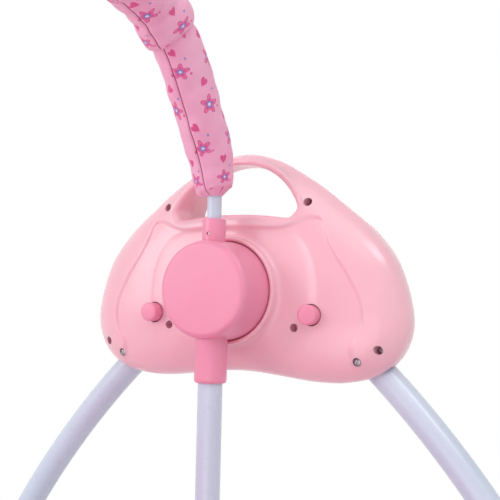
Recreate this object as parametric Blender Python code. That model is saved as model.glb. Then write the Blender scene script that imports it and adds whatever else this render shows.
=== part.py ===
# Electric baby swing: two pink housings on folding legs, and a seat that hangs between them.
# Metres. +Z up, +X toward the housing that holds the drive, -Y toward the front of the seat.
import math

import bmesh
import bpy
from mathutils import Matrix, Vector

for old in list(bpy.data.objects):
    bpy.data.objects.remove(old)

# Planes that cutters reach in a housing: before its face, between its halves, behind its back
CUT_START = -0.020
CUT_MIDDLE = 0.060
CUT_END = 0.120

# Where the two housings stand
PIVOT_HEIGHT = 0.570
HOUSING_SPREAD = 0.255
FIT_GAP = 0.0003
RUNNING_GAP = 0.0005

# Housing outline, seen along X from the swing axis
HOUSING_TOP = 0.130
HOUSING_HALF_WIDTH = 0.1612
HOUSING_WIDEST_LEVEL = -0.020
HOUSING_BOTTOM = -0.072
HOUSING_BELLY = -0.079
SHELL_WALL = 0.0024
FACE_DEPTH = 0.008
PARTING_DEPTH = 0.040
BACK_DEPTH = 0.085
DOME_POWER = 2.8
OUTLINE_STEPS = 26
DOME_STEPS = 4

# Handle opening
HANDLE_ARC_RADIUS = 0.0672
HANDLE_ARC_TOP = 0.117
HANDLE_FLOOR_MIDDLE = 0.0702
HANDLE_FLOOR_END = 0.0666
HANDLE_FLOOR_REACH = 0.053

# Hub seat, bush and shaft
RIM_RADIUS = 0.0485
RIM_WALL = 0.0033
HUB_GAP = 0.0012
SEAT_FLOOR_DEPTH = 0.010
SEAT_FLOOR = 0.003
BOSS_WALL = 0.0047
BOSS_END_DEPTH = 0.024
BUSH_WALL = 0.0027
BUSH_FLANGE_RADIUS = 0.0125
BUSH_FLANGE = 0.0015
SHAFT_RADIUS = 0.006
SHAFT_HEAD_RADIUS = 0.0085
SHAFT_HEAD = 0.0025

# Hub cup and its two sockets
CUP_LENGTH = 0.0398
CUP_FRONT_RADIUS = 0.0427
CUP_EDGE = 0.005
CUP_WALL = 0.003
CUP_SKIRT = 0.0055
ARM_OFFSET = 0.0207
UPPER_SOCKET_RADIUS = 0.0103
UPPER_SOCKET_TOP = 0.0622
LOWER_SOCKET_RADIUS = 0.01425
LOWER_SOCKET_BOTTOM = -0.0808
SOCKET_CHAMFER = 0.003
SOCKET_DEPTH = 0.018
ARM_SOCKET_DEPTH = 0.034

# Tubes
TUBE_WALL = 0.0012
LEG_RADIUS = 0.0127
ARM_RADIUS = 0.0108
ARCH_RADIUS = 0.00635
TUBE_SIDES = 8

# Legs: depth of their plane in the housing, pivot bolt, lock button and curve
LEG_DOME_SHARE = 0.5778
LEG_SETBACK = 0.015
BACK_OVER_BOLT = PARTING_DEPTH + LEG_DOME_SHARE * (BACK_DEPTH - PARTING_DEPTH)
LEG_DEPTH = BACK_OVER_BOLT - LEG_SETBACK
LEG_PIVOT = (0.1212, -0.0591)
LEG_LEAN = math.radians(45.8)
LEG_TOP_REACH = 0.066
LEG_LOCK_REACH = 0.0561
LEG_STRAIGHT = 0.022
LEG_CURVE_RADIUS = 0.860
LEG_FOLD = math.radians(36)
LEG_SIDE_GAP = 0.0008
BOLT_RADIUS = 0.003
BOLT_HEAD_RADIUS = 0.0036
BOLT_HEAD = 0.0025
BOLT_WELL_DEPTH = 0.019
BOLT_PROUD = 0.0023
BOLT_END_DEPTH = BACK_OVER_BOLT + BOLT_PROUD
PIVOT_POST_RADIUS = 0.0075

# Feet and floor bars
FOOT_RADIUS = 0.0165
FOOT_HEIGHT = 0.055
FOOT_REACH = 0.041
FOOT_BASE = 0.004
BAR_HEIGHT = 0.0165
LEG_END_HEIGHT = 0.024
BAR_INSET = 0.016

# Screws and lock buttons on the inner face (distance from the middle, height)
WELL_RADIUS = 0.0038
POST_WALL = 0.002
DEEP_WELL_DEPTH = 0.034
SCREW_WELL_DEPTH = 0.030
HIGH_POST = (0.073, 0.079)
LOW_POST = (0.0646, -0.0314)
CORNER_POST = (0.1392, -0.0484)
SCREW_HEAD_RADIUS = 0.0034
SCREW_HEAD = 0.0026
SCREW_RADIUS = 0.0016
SCREW_LENGTH = 0.022
BUTTON_RADIUS = 0.0087
BUTTON_FRONT = -0.001
BUTTON_BACK = 0.014
BUTTON_GAP = 0.0009
BUTTON_COLLAR_WALL = 0.002
BUTTON_COLLAR_END = 0.025
PLUNGER_RADIUS = 0.0045

# Drive: motor, pinion, crank wheel and slotted fork, all in the right housing
GEAR_MODULE = 0.0012
WHEEL_TEETH = 30
PINION_TEETH = 10
WHEEL_DROP = 0.040
WHEEL_FACE_DEPTH = 0.0355
WHEEL_THICKNESS = 0.006
CRANK_THROW = 0.006
CRANK_PIN_RADIUS = 0.0028
JOURNAL_RADIUS = 0.005
JOURNAL_LENGTH = 0.018
JOURNAL_POST_WALL = 0.0035
FORK_HUB_RADIUS = 0.011
FORK_HUB_LENGTH = 0.0085
FORK_PLATE = 0.004
FORK_PLATE_START = 0.0025
FORK_HALF_WIDTH = 0.007
FORK_TIP = 0.053
MOTOR_RADIUS = 0.012
MOTOR_LENGTH = 0.030
MOTOR_SHAFT_RADIUS = 0.0012
MOTOR_SHAFT_REACH = 0.006
MOTOR_CUP_WALL = 0.0022
MOTOR_CUP_GRIP = 0.012

# Controls and electronics on the back of the right housing
DISH_DEPTH = 0.010
DISH_WALL = 0.002
DISH_FROM = -0.012
DISH_TO = 0.054
DISH_HALF_HEIGHT = 0.019
KNOB_PLACE = 0.008
KNOB_RADIUS = 0.0150
KNOB_STEM_RADIUS = 0.003
MUSIC_PLACE = 0.040
MUSIC_RADIUS = 0.0080
MUSIC_STEM_RADIUS = 0.003
MUSIC_TRAVEL = 0.002
BOARD_SETBACK = 0.021
BOARD_DEPTH = BACK_DEPTH - BOARD_SETBACK
BOARD_THICKNESS = 0.0016
BOARD_POST_RADIUS = 0.003
SPEAKER_PLACE = -0.038
SPEAKER_RADIUS = 0.018
SPEAKER_THICKNESS = 0.010
SPEAKER_SETBACK = 0.0015
SPEAKER_HOLE = 0.0022
SPEAKER_HOLE_RING = 0.009

# Batteries and their box
CELL_RADIUS = 0.00725
CELL_LENGTH = 0.0500
CELL_SPACING = 0.0004
CELL_LEVEL = 0.0370
BOX_WALL = 0.002
BOX_DEPTH = 0.026
BOX_FLOOR_DEPTH = BACK_DEPTH - BOX_DEPTH
DOOR_LIP = 0.0015

# Arch over the seat
ARCH_KNEE_HEIGHT = 0.1043
ARCH_TOP_HEIGHT = 0.238
ARCH_LEAN = math.radians(33.15)
ARCH_KNEE_RADIUS = 0.100
ARCH_SHOULDER_RADIUS = 0.136

# Fabric sleeves on the arch, lengths measured along the tube
SLEEVE_START = 0.038
SLEEVE_HEM = 0.182
SLEEVE_OVERLAP = 0.014
SLEEVE_LOW_RADIUS = 0.0135
SLEEVE_RADIUS = 0.0203
SLEEVE_TOP_RADIUS = 0.0247
SLEEVE_CLOTH = 0.0016
SLEEVE_GAP = 0.0006
SLEEVE_SIDES = 8
SLEEVE_RING_SPACE = 0.002

# Seat loop
SEAT_DROP = 0.360
SEAT_FRONT = -0.272
SEAT_BEND = 0.040
SEAT_BACK_RUN = 0.240
SEAT_BACK_RISE = 0.190
SEAT_TOP_HALF_WIDTH = 0.182
SEAT_CORNER_RADIUS = 0.060
SEAT_BEND_RADIUS = 0.055

# Cushions and harness
CUSHION_THICKNESS = 0.046
CUSHION_CHANNEL = 0.007
CUSHION_SIDE_DRAW = 0.012
CUSHION_END_GAP = 0.0003
CUSHION_CORNER = 0.020
CUSHION_SEAM = 0.0024
CUSHION_STEPS = 9
STRAP_WIDTH = 0.025
STRAP_THICKNESS = 0.0022
STRAP_SPREAD = 0.110
BUCKLE_PLACE = -0.105
BUCKLE_HALF_WIDTH = 0.026
BUCKLE_HALF_LENGTH = 0.019
BUCKLE_THICKNESS = 0.016
BUCKLE_EDGE = 0.003
BUCKLE_RIM_SHARE = 0.94
BUCKLE_BUTTON_HALF = 0.010
BUCKLE_BUTTON_DEPTH = 0.008
BUCKLE_BUTTON_TRAVEL = 0.003


# Solids from rings of points
def mesh_from_rings(name, rings, closed=False):
    """Skins rings of equal count; a ring of one point is a pole, and open ends are capped."""
    shape = bmesh.new()
    rows = [[shape.verts.new(point) for point in ring] for ring in rings]
    pairs = list(zip(rows, rows[1:]))
    if closed:
        pairs.append((rows[-1], rows[0]))
    for here, there in pairs:
        count = max(len(here), len(there))
        for i in range(count):
            j = (i + 1) % count
            corners = [here[i % len(here)], here[j % len(here)]]
            corners += [there[j % len(there)], there[i % len(there)]]
            shape.faces.new(list(dict.fromkeys(corners)))
    if not closed:
        for end in (rows[0], rows[-1]):
            if len(end) > 2:
                shape.faces.new(end)
    bmesh.ops.recalc_face_normals(shape, faces=shape.faces)
    mesh = bpy.data.meshes.new(name)
    shape.to_mesh(mesh)
    shape.free()
    return mesh


def merged(name, meshes):
    """One mesh holding several separate closed solids."""
    shape = bmesh.new()
    for mesh in meshes:
        shape.from_mesh(mesh)
    result = bpy.data.meshes.new(name)
    shape.to_mesh(result)
    shape.free()
    return result


def circle(radius, sides, turn=0.0):
    """Points of a circle as (first, second) pairs."""
    angles = [turn + 2 * math.pi * i / sides for i in range(sides)]
    return [(radius * math.cos(a), radius * math.sin(a)) for a in angles]


def clear_of(radius, sides):
    """Corner radius of a many-sided bore whose flats clear a round piece of this radius."""
    return (radius + FIT_GAP) / math.cos(math.pi / sides)


def rod(radius, start, end, centre=(0.0, 0.0), sides=16, tip_radius=None):
    """Cylinder or cone frustum along X."""
    last = radius if tip_radius is None else tip_radius
    rings = []
    for depth, size in ((start, radius), (end, last)):
        rings.append([(depth, centre[0] + a, centre[1] + b) for a, b in circle(size, sides)])
    return mesh_from_rings("rod", rings)


def upright_rod(radius, low, high, centre, sides=16):
    """Cylinder along Z."""
    rings = [[(centre[0] + a, centre[1] + b, z) for a, b in circle(radius, sides)] for z in (low, high)]
    return mesh_from_rings("upright", rings)


def turned(profile, sides=32, closed=False):
    """Body of revolution about X from (depth, radius) points."""
    rings = []
    for depth, radius in profile:
        if radius == 0:
            rings.append([(depth, 0.0, 0.0)])
        else:
            rings.append([(depth, a, b) for a, b in circle(radius, sides)])
    return mesh_from_rings("turned", rings, closed)


def prism(outline, start, end):
    """Outline in the YZ plane, extruded along X."""
    return mesh_from_rings("prism", [[(depth, y, z) for y, z in outline] for depth in (start, end)])


def block(x_range, y_range, z_range):
    """Box between two planes in each direction."""
    low, high = z_range
    left, right = y_range
    return prism([(left, low), (right, low), (right, high), (left, high)], *x_range)


def moved(mesh, offset):
    mesh.transform(Matrix.Translation(offset))
    return mesh


def combine(body, tool, operation):
    """Boolean of two meshes with Blender's exact solver."""
    target = bpy.data.objects.new("target", body)
    cutter = bpy.data.objects.new("cutter", tool)
    for item in (target, cutter):
        bpy.context.scene.collection.objects.link(item)
    change = target.modifiers.new("change", "BOOLEAN")
    change.operation = operation
    change.solver = "EXACT"
    change.object = cutter
    graph = bpy.context.evaluated_depsgraph_get()
    result = bpy.data.meshes.new_from_object(target.evaluated_get(graph))
    for item in (target, cutter):
        bpy.data.objects.remove(item)
    return result


def cut(body, *tools):
    for tool in tools:
        body = combine(body, tool, "DIFFERENCE")
    return body


def join(body, *tools):
    for tool in tools:
        body = combine(body, tool, "UNION")
    return body


# Outlines and paths
def smooth_loop(points, count):
    """Closed Catmull-Rom curve through the points, read at even steps along its length."""
    fine = []
    total = len(points)
    for i in range(total):
        p0, p1, p2, p3 = (Vector(points[(i + k) % total]) for k in (-1, 0, 1, 2))
        for step in range(24):
            t = step / 24
            a = 2 * p1 + (p2 - p0) * t
            b = (2 * p0 - 5 * p1 + 4 * p2 - p3) * t * t
            c = (3 * p1 - p0 - 3 * p2 + p3) * t ** 3
            fine.append((a + b + c) / 2)
    lengths = [0.0]
    for here, there in zip(fine, fine[1:] + fine[:1]):
        lengths.append(lengths[-1] + (there - here).length)
    result = []
    index = 0
    for step in range(count):
        goal = lengths[-1] * step / count
        while lengths[index + 1] < goal:
            index += 1
        share = (goal - lengths[index]) / (lengths[index + 1] - lengths[index])
        point = fine[index].lerp(fine[(index + 1) % len(fine)], share)
        result.append((point.x, point.y))
    return result


def grown(outline, distance):
    """Outline moved along its own normals; negative moves it in. The outline runs counterclockwise."""
    result = []
    total = len(outline)
    for i in range(total):
        before = Vector(outline[i - 1])
        here = Vector(outline[i])
        after = Vector(outline[(i + 1) % total])
        first = (here - before).normalized()
        second = (after - here).normalized()
        normal = Vector((first.y + second.y, -first.x - second.x)).normalized()
        stretch = max(0.5, normal.dot(Vector((second.y, -second.x))))
        result.append(tuple(here + normal * distance / stretch))
    return result


def rounded_path(corners, radii, turn_step=math.radians(19)):
    """Polyline with its inner corners replaced by arcs."""
    points = [Vector(corners[0])]
    for i in range(1, len(corners) - 1):
        corner = Vector(corners[i])
        into = (Vector(corners[i - 1]) - corner).normalized()
        out = (Vector(corners[i + 1]) - corner).normalized()
        turn = math.pi - into.angle(out)
        reach = radii[i - 1] * math.tan(turn / 2)
        centre = corner + (into + out).normalized() * radii[i - 1] / math.cos(turn / 2)
        start = corner + into * reach - centre
        axis = start.cross(corner + out * reach - centre).normalized()
        steps = max(2, round(turn / turn_step))
        for k in range(steps + 1):
            points.append(centre + Matrix.Rotation(turn * k / steps, 3, axis) @ start)
    points.append(Vector(corners[-1]))
    return points


def path_length(points):
    lengths = [0.0]
    for here, there in zip(points, points[1:]):
        lengths.append(lengths[-1] + (there - here).length)
    return lengths


def along(points, distance):
    """Point of a polyline at a distance from its start."""
    lengths = path_length(points)
    index = 0
    while index < len(points) - 2 and lengths[index + 1] < distance:
        index += 1
    share = (distance - lengths[index]) / (lengths[index + 1] - lengths[index])
    return points[index].lerp(points[index + 1], share)


def path_frames(points):
    """A tangent and two cross directions at each point, carried along without twist."""
    tangents = []
    for i in range(len(points)):
        before = points[max(i - 1, 0)]
        after = points[min(i + 1, len(points) - 1)]
        tangents.append((after - before).normalized())
    side = tangents[0].orthogonal().normalized()
    frames = []
    for tangent in tangents:
        side = (side - tangent * side.dot(tangent)).normalized()
        frames.append((side, tangent.cross(side)))
    return frames


def swept(points, sections):
    """Rings along a path; a section is a list of (first, second) offsets at each point."""
    rings = []
    for point, (first, second), section in zip(points, path_frames(points), sections):
        rings.append([tuple(point + first * a + second * b) for a, b in section])
    return rings


def tube(points, radius, wall, sides=TUBE_SIDES):
    """Open-ended hollow tube along a path."""
    outside = swept(points, [circle(radius, sides)] * len(points))
    inside = swept(points, [circle(radius - wall, sides)] * len(points))
    return mesh_from_rings("tube", outside + inside[::-1], closed=True)


# Scene objects
FINISHES = {
    "pale_pink_shell": ((0.945, 0.700, 0.765), 0.28, 0.0),
    "hub_pink": ((0.930, 0.420, 0.590), 0.32, 0.0),
    "tube_paint": ((0.780, 0.785, 0.860), 0.30, 0.0),
    "pink_fabric": ((0.930, 0.520, 0.680), 0.90, 0.0),
    "strap_webbing": ((0.880, 0.360, 0.540), 0.85, 0.0),
    "steel": ((0.560, 0.560, 0.580), 0.35, 1.0),
    "motor_steel": ((0.620, 0.620, 0.630), 0.40, 1.0),
    "nylon": ((0.900, 0.890, 0.860), 0.45, 0.0),
    "circuit_green": ((0.080, 0.300, 0.160), 0.50, 0.0),
    "speaker_black": ((0.050, 0.050, 0.055), 0.60, 0.0),
    "cell_grey": ((0.350, 0.360, 0.380), 0.35, 0.6),
    "foot_rubber": ((0.860, 0.400, 0.560), 0.75, 0.0),
}


def finish(name):
    material = bpy.data.materials.get(name)
    if material is None:
        colour, roughness, metallic = FINISHES[name]
        material = bpy.data.materials.new(name)
        material.use_nodes = True
        shader = material.node_tree.nodes["Principled BSDF"]
        shader.inputs["Base Color"].default_value = (*colour, 1.0)
        shader.inputs["Roughness"].default_value = roughness
        shader.inputs["Metallic"].default_value = metallic
    return material


def piece(name, mesh, material, parent, pivot=(0.0, 0.0, 0.0)):
    """Object whose origin is at the pivot; the mesh is given in its parent's frame."""
    data = mesh.copy()
    data.name = name
    data.transform(Matrix.Translation(-Vector(pivot)))
    data.materials.clear()
    data.materials.append(finish(material))
    data.shade_smooth()
    data.set_sharp_from_angle(angle=math.radians(35))
    item = bpy.data.objects.new(name, data)
    item.location = pivot
    item.parent = parent
    bpy.context.scene.collection.objects.link(item)
    return item


def guide(name, place, turn=0.0):
    marker = bpy.data.objects.new(name, None)
    marker.location = place
    marker.rotation_euler = (0.0, 0.0, turn)
    bpy.context.scene.collection.objects.link(marker)
    return marker


# A housing is drawn in its own frame: X runs from the hub ring outward, Y and Z from the swing axis
HOUSINGS = {
    "right": guide("right_housing", (HOUSING_SPREAD, 0.0, PIVOT_HEIGHT)),
    "left": guide("left_housing", (-HOUSING_SPREAD, 0.0, PIVOT_HEIGHT), math.pi),
}
SIDES = (("right", 1), ("left", -1))
ENDS = (("front", -1), ("rear", 1))


def housing_outline():
    """Wide rounded triangle, a little hollow along its bottom edge."""
    rise = HOUSING_TOP - HOUSING_WIDEST_LEVEL
    half = [(0.0, HOUSING_TOP)]
    for across, up in ((0.210, 0.950), (0.414, 0.827), (0.608, 0.667), (0.790, 0.493), (0.924, 0.293)):
        half.append((HOUSING_HALF_WIDTH * across, HOUSING_WIDEST_LEVEL + rise * up))
    half.append((HOUSING_HALF_WIDTH, HOUSING_WIDEST_LEVEL))
    drop = HOUSING_WIDEST_LEVEL - HOUSING_BELLY
    for across, down in ((0.965, 0.480), (0.855, 0.810), (0.700, 0.965), (0.480, 1.0)):
        half.append((HOUSING_HALF_WIDTH * across, HOUSING_WIDEST_LEVEL - drop * down))
    half.append((0.0, HOUSING_BOTTOM))
    other = [(-y, z) for y, z in half[1:-1]]
    return smooth_loop((half + other[::-1])[::-1], OUTLINE_STEPS)


def handle_outline(extra=0.0):
    """Half-moon opening: a round top arc over a gently bowed floor."""
    centre = HANDLE_ARC_TOP - HANDLE_ARC_RADIUS
    radius = HANDLE_ARC_RADIUS + extra
    end = HANDLE_FLOOR_END - extra
    low = HANDLE_FLOOR_END + 0.010
    start = math.asin((low - centre) / HANDLE_ARC_RADIUS)
    arc = [start + (math.pi - 2 * start) * i / 9 for i in range(10)]
    points = [(radius * math.cos(a), centre + radius * math.sin(a)) for a in arc]
    left = -HANDLE_FLOOR_REACH
    points.append((left - 0.0060 - extra * 0.7, HANDLE_FLOOR_END + 0.0035 - extra * 0.7))
    for i in range(5):
        share = i / 4
        y = left + 2 * HANDLE_FLOOR_REACH * share
        bow = (HANDLE_FLOOR_MIDDLE - HANDLE_FLOOR_END) * (1 - (2 * share - 1) ** 2)
        points.append((y, end + bow))
    points.append((-left + 0.0060 + extra * 0.7, HANDLE_FLOOR_END + 0.0035 - extra * 0.7))
    return points


OUTLINE = housing_outline()


def dome_depth(y, z, bulge, base):
    """Depth of the domed surface over a point of the housing's face."""
    bearing = math.atan2(z, y)
    reach = 0.0
    for here, there in zip(OUTLINE, OUTLINE[1:] + OUTLINE[:1]):
        turn = (math.atan2(here[1], here[0]) - bearing + math.pi) % (2 * math.pi) - math.pi
        if abs(turn) < math.radians(8):
            reach = max(reach, math.hypot(*here)) if reach == 0 else min(reach, math.hypot(*here))
    share = min(1.0, math.hypot(y, z) / reach)
    return base + bulge * (1 - share ** DOME_POWER) ** (1 / DOME_POWER)


def dome(outline, base, bulge, skirt=0.0):
    """Solid from the outline at the base plane, rising to the bulge over the swing axis."""
    rings = []
    if skirt:
        rings.append([(base - math.copysign(skirt, bulge), y, z) for y, z in outline])
    for step in range(DOME_STEPS):
        angle = 0.5 * math.pi * step / DOME_STEPS
        share = math.cos(angle) ** (2 / DOME_POWER)
        depth = base + bulge * math.sin(angle) ** (2 / DOME_POWER)
        rings.append([(depth, y * share, z * share) for y, z in outline])
    rings.append([(base + bulge, 0.0, 0.0)])
    return mesh_from_rings("dome", rings)


def both_ends(place):
    return [(end * place[0], place[1]) for _, end in ENDS]


def leg_direction(lean, end):
    """Downward direction of a leg in the YZ plane."""
    return Vector((0.0, end * math.sin(lean), -math.cos(lean)))


def leg_slot(end):
    """Room that a leg needs to fold, open at the parting plane so that the leg can be laid in."""
    reach = 0.060
    half = LEG_RADIUS + 0.0004
    pivot = Vector((0.0, end * LEG_PIVOT[0], LEG_PIVOT[1]))
    down = leg_direction(LEG_LEAN, end)
    folded = leg_direction(LEG_LEAN - LEG_FOLD, end)
    outer = Vector((0.0, -end * down.z, end * down.y))
    inner = -Vector((0.0, -end * folded.z, end * folded.y))
    corners = [pivot + outer * half, pivot + outer * half + down * reach,
               pivot + inner * half + folded * reach, pivot + inner * half]
    outline = [(corner.y, corner.z) for corner in corners]
    start = min(LEG_DEPTH - LEG_RADIUS - LEG_SIDE_GAP, PARTING_DEPTH - SHELL_WALL)
    return prism(outline, start, LEG_DEPTH + LEG_RADIUS + LEG_SIDE_GAP)


def hub_seat():
    """Rim around the hub cup, floor behind it and boss for the bush."""
    well = RIM_RADIUS - RIM_WALL
    bore = SHAFT_RADIUS + FIT_GAP + BUSH_WALL + FIT_GAP
    floor_back = SEAT_FLOOR_DEPTH + SEAT_FLOOR
    return turned([
        (0.0, RIM_RADIUS - 0.001), (0.001, RIM_RADIUS), (floor_back, RIM_RADIUS),
        (floor_back, bore + BOSS_WALL), (BOSS_END_DEPTH, bore + BOSS_WALL), (BOSS_END_DEPTH, bore),
        (SEAT_FLOOR_DEPTH, bore), (SEAT_FLOOR_DEPTH, well), (0.001, well), (0.0, well + 0.001),
    ], 16, closed=True)


def inner_shell():
    """Half of the housing that faces the seat, with hub seat, wells, collars and fold slots."""
    plane = PARTING_DEPTH - FIT_GAP / 2
    body = dome(OUTLINE, plane, FACE_DEPTH - plane)
    body = cut(body, prism(handle_outline(), CUT_START, BACK_DEPTH))
    hollow = dome(grown(OUTLINE, -SHELL_WALL), plane, FACE_DEPTH + SHELL_WALL - plane, skirt=0.002)
    leg_side = LEG_DEPTH - LEG_RADIUS - LEG_SIDE_GAP
    post = WELL_RADIUS + POST_WALL
    solids = [prism(handle_outline(SHELL_WALL), CUT_START, BACK_DEPTH)]
    solids += [rod(post, 0.0, BACK_DEPTH, spot, 8) for spot in both_ends(HIGH_POST) + both_ends(LOW_POST)]
    solids += [rod(post, 0.0, BACK_DEPTH, spot, 8) for spot in both_ends(CORNER_POST)]
    collar = BUTTON_RADIUS + BUTTON_GAP + BUTTON_COLLAR_WALL
    solids += [rod(collar, 0.0, BUTTON_COLLAR_END, spot, 10) for spot in both_ends(lock_place())]
    solids += [rod(PIVOT_POST_RADIUS, 0.0, leg_side, spot, 8) for spot in both_ends(LEG_PIVOT)]
    hollow = cut(hollow, merged("kept", solids))
    body = cut(body, hollow)
    body = cut(body, rod(RIM_RADIUS - 0.0015, CUT_START, 0.020, sides=16))
    body = join(body, hub_seat())
    holes = []
    for spot in both_ends(HIGH_POST) + both_ends(LOW_POST):
        holes.append(rod(WELL_RADIUS, CUT_START, DEEP_WELL_DEPTH, spot, 8))
    for spot in both_ends(CORNER_POST):
        holes.append(turned([(CUT_START, 0.0), (CUT_START, WELL_RADIUS), (SCREW_WELL_DEPTH, WELL_RADIUS),
                             (SCREW_WELL_DEPTH, SCREW_RADIUS + FIT_GAP), (CUT_MIDDLE, SCREW_RADIUS + FIT_GAP),
                             (CUT_MIDDLE, 0.0)], 8))
        moved(holes[-1], (0.0, *spot))
    for spot in both_ends(LEG_PIVOT):
        holes.append(turned([(CUT_START, 0.0), (CUT_START, clear_of(BOLT_HEAD_RADIUS, 8)),
                             (BOLT_WELL_DEPTH, clear_of(BOLT_HEAD_RADIUS, 8)),
                             (BOLT_WELL_DEPTH, BOLT_RADIUS + FIT_GAP), (CUT_MIDDLE, BOLT_RADIUS + FIT_GAP),
                             (CUT_MIDDLE, 0.0)], 8))
        moved(holes[-1], (0.0, *spot))
    for spot in both_ends(lock_place()):
        holes.append(rod(BUTTON_RADIUS + BUTTON_GAP, CUT_START, 0.030, spot, 10))
    body = cut(body, merged("holes", holes))
    return cut(body, merged("slots", [leg_slot(-1), leg_slot(1)]))


def outer_blank(extra_kept=()):
    """Half of the housing that faces away from the seat, with posts and fold slots."""
    plane = PARTING_DEPTH + FIT_GAP / 2
    body = dome(OUTLINE, plane, BACK_DEPTH - plane)
    body = cut(body, prism(handle_outline(), 0.0, CUT_END))
    hollow = dome(grown(OUTLINE, -SHELL_WALL), plane, BACK_DEPTH - SHELL_WALL - plane, skirt=0.002)
    post = WELL_RADIUS + POST_WALL
    leg_side = LEG_DEPTH + LEG_RADIUS + LEG_SIDE_GAP
    solids = [prism(handle_outline(SHELL_WALL), 0.0, CUT_END)]
    solids += [rod(post, plane, CUT_END, spot, 8) for spot in both_ends(HIGH_POST) + both_ends(LOW_POST)]
    solids += [rod(post, plane, CUT_END, spot, 8) for spot in both_ends(CORNER_POST)]
    solids += [rod(PIVOT_POST_RADIUS, leg_side, CUT_END, spot, 8) for spot in both_ends(LEG_PIVOT)]
    hollow = cut(hollow, merged("kept", solids), *extra_kept)
    body = cut(body, hollow)
    holes = []
    for spot in both_ends(CORNER_POST):
        end = SCREW_WELL_DEPTH + SCREW_LENGTH + FIT_GAP
        holes.append(rod(SCREW_RADIUS + FIT_GAP, 0.0, end, spot, 8))
    for spot in both_ends(LEG_PIVOT):
        holes.append(rod(BOLT_RADIUS + FIT_GAP, 0.0, CUT_END, spot, 8))
    body = cut(body, merged("holes", holes))
    return cut(body, merged("slots", [leg_slot(-1), leg_slot(1)]))


def lock_place():
    """Where the lock button stands, on the leg's own line above its pivot."""
    up = -leg_direction(LEG_LEAN, 1)
    return (LEG_PIVOT[0] + up.y * LEG_LOCK_REACH, LEG_PIVOT[1] + up.z * LEG_LOCK_REACH)


# Battery box and door, cut out of the back of the right housing
BOX_HALF_WIDTH = CELL_LENGTH + 1.5 * CELL_SPACING
DOOR_SEAT_DEPTH = BOX_FLOOR_DEPTH + 2 * CELL_RADIUS + 3 * FIT_GAP
BOX_LOW = CELL_LEVEL - CELL_RADIUS - CELL_SPACING
BOX_HIGH = CELL_LEVEL + 3 * CELL_RADIUS + 2 * CELL_SPACING


def battery_opening(spare, start, end):
    """Block over the cells, grown by the spare on its four sides."""
    across = (-BOX_HALF_WIDTH - spare, BOX_HALF_WIDTH + spare)
    return block((start, end), across, (BOX_LOW - spare, BOX_HIGH + spare))


def drive_outer_shell():
    """Right outer shell: battery box, control dish, motor cup, journal post and board posts."""
    floor = BACK_DEPTH - DISH_DEPTH
    wheel = (0.0, -WHEEL_DROP)
    motor = motor_place()
    motor_back = motor_face() + MOTOR_LENGTH + FIT_GAP
    kept = [battery_opening(BOX_WALL, BOX_FLOOR_DEPTH - BOX_WALL, CUT_END)]
    kept.append(block((floor - DISH_WALL, CUT_END), (DISH_FROM - DISH_WALL, DISH_TO + DISH_WALL),
                      (-DISH_HALF_HEIGHT - DISH_WALL, DISH_HALF_HEIGHT + DISH_WALL)))
    post = JOURNAL_RADIUS + FIT_GAP + JOURNAL_POST_WALL
    kept.append(rod(post, WHEEL_FACE_DEPTH + WHEEL_THICKNESS + RUNNING_GAP, CUT_END, wheel, 16))
    cup = MOTOR_RADIUS + FIT_GAP + MOTOR_CUP_WALL
    kept.append(rod(cup, motor_back - MOTOR_CUP_GRIP, CUT_END, motor, 20))
    body = outer_blank(kept)
    board_back = BOARD_DEPTH + BOARD_THICKNESS + FIT_GAP
    for y in board_post_rows():
        for z in (-board_post_level(), board_post_level()):
            body = join(body, rod(BOARD_POST_RADIUS, board_back, floor - DISH_WALL / 2, (y, z), 8))
    tools = [battery_opening(0.0, BOX_FLOOR_DEPTH, CUT_END)]
    tools.append(block((floor, CUT_END), (DISH_FROM, DISH_TO), (-DISH_HALF_HEIGHT, DISH_HALF_HEIGHT)))
    tools.append(rod(JOURNAL_RADIUS + FIT_GAP, 0.0, journal_end() + FIT_GAP, wheel, 16))
    tools.append(rod(MOTOR_RADIUS + FIT_GAP, 0.0, motor_back, motor, 20))
    tools.append(rod(KNOB_STEM_RADIUS + FIT_GAP, CUT_MIDDLE, floor + 0.002, (KNOB_PLACE, 0.0), 12))
    tools.append(rod(MUSIC_STEM_RADIUS + FIT_GAP, CUT_MIDDLE, floor + 0.002, (MUSIC_PLACE, 0.0), 12))
    for y, z in [(0.0, 0.0)] + circle(SPEAKER_HOLE_RING, 6):
        tools.append(rod(SPEAKER_HOLE, floor, CUT_END, (SPEAKER_PLACE + y, z), 6))
    for tool in tools[:6]:
        body = cut(body, tool)
    body = cut(body, merged("grille", tools[6:]))
    return cut(body, battery_opening(DOOR_LIP, DOOR_SEAT_DEPTH, CUT_END))


def battery_door():
    """Door with the housing's own curve, resting on the lip around the battery box."""
    plane = PARTING_DEPTH + FIT_GAP / 2
    body = dome(OUTLINE, plane, BACK_DEPTH - plane)
    lid = battery_opening(DOOR_LIP - FIT_GAP, DOOR_SEAT_DEPTH + FIT_GAP, CUT_END)
    return combine(body, lid, "INTERSECT")


def motor_place():
    return ((WHEEL_TEETH + PINION_TEETH) * GEAR_MODULE / 2, -WHEEL_DROP)


def motor_face():
    return WHEEL_FACE_DEPTH + WHEEL_THICKNESS + RUNNING_GAP


def journal_end():
    return WHEEL_FACE_DEPTH + WHEEL_THICKNESS + JOURNAL_LENGTH


def board_post_rows():
    return (DISH_FROM + 0.006, DISH_TO - 0.006)


def board_post_level():
    return DISH_HALF_HEIGHT - 0.006


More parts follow.
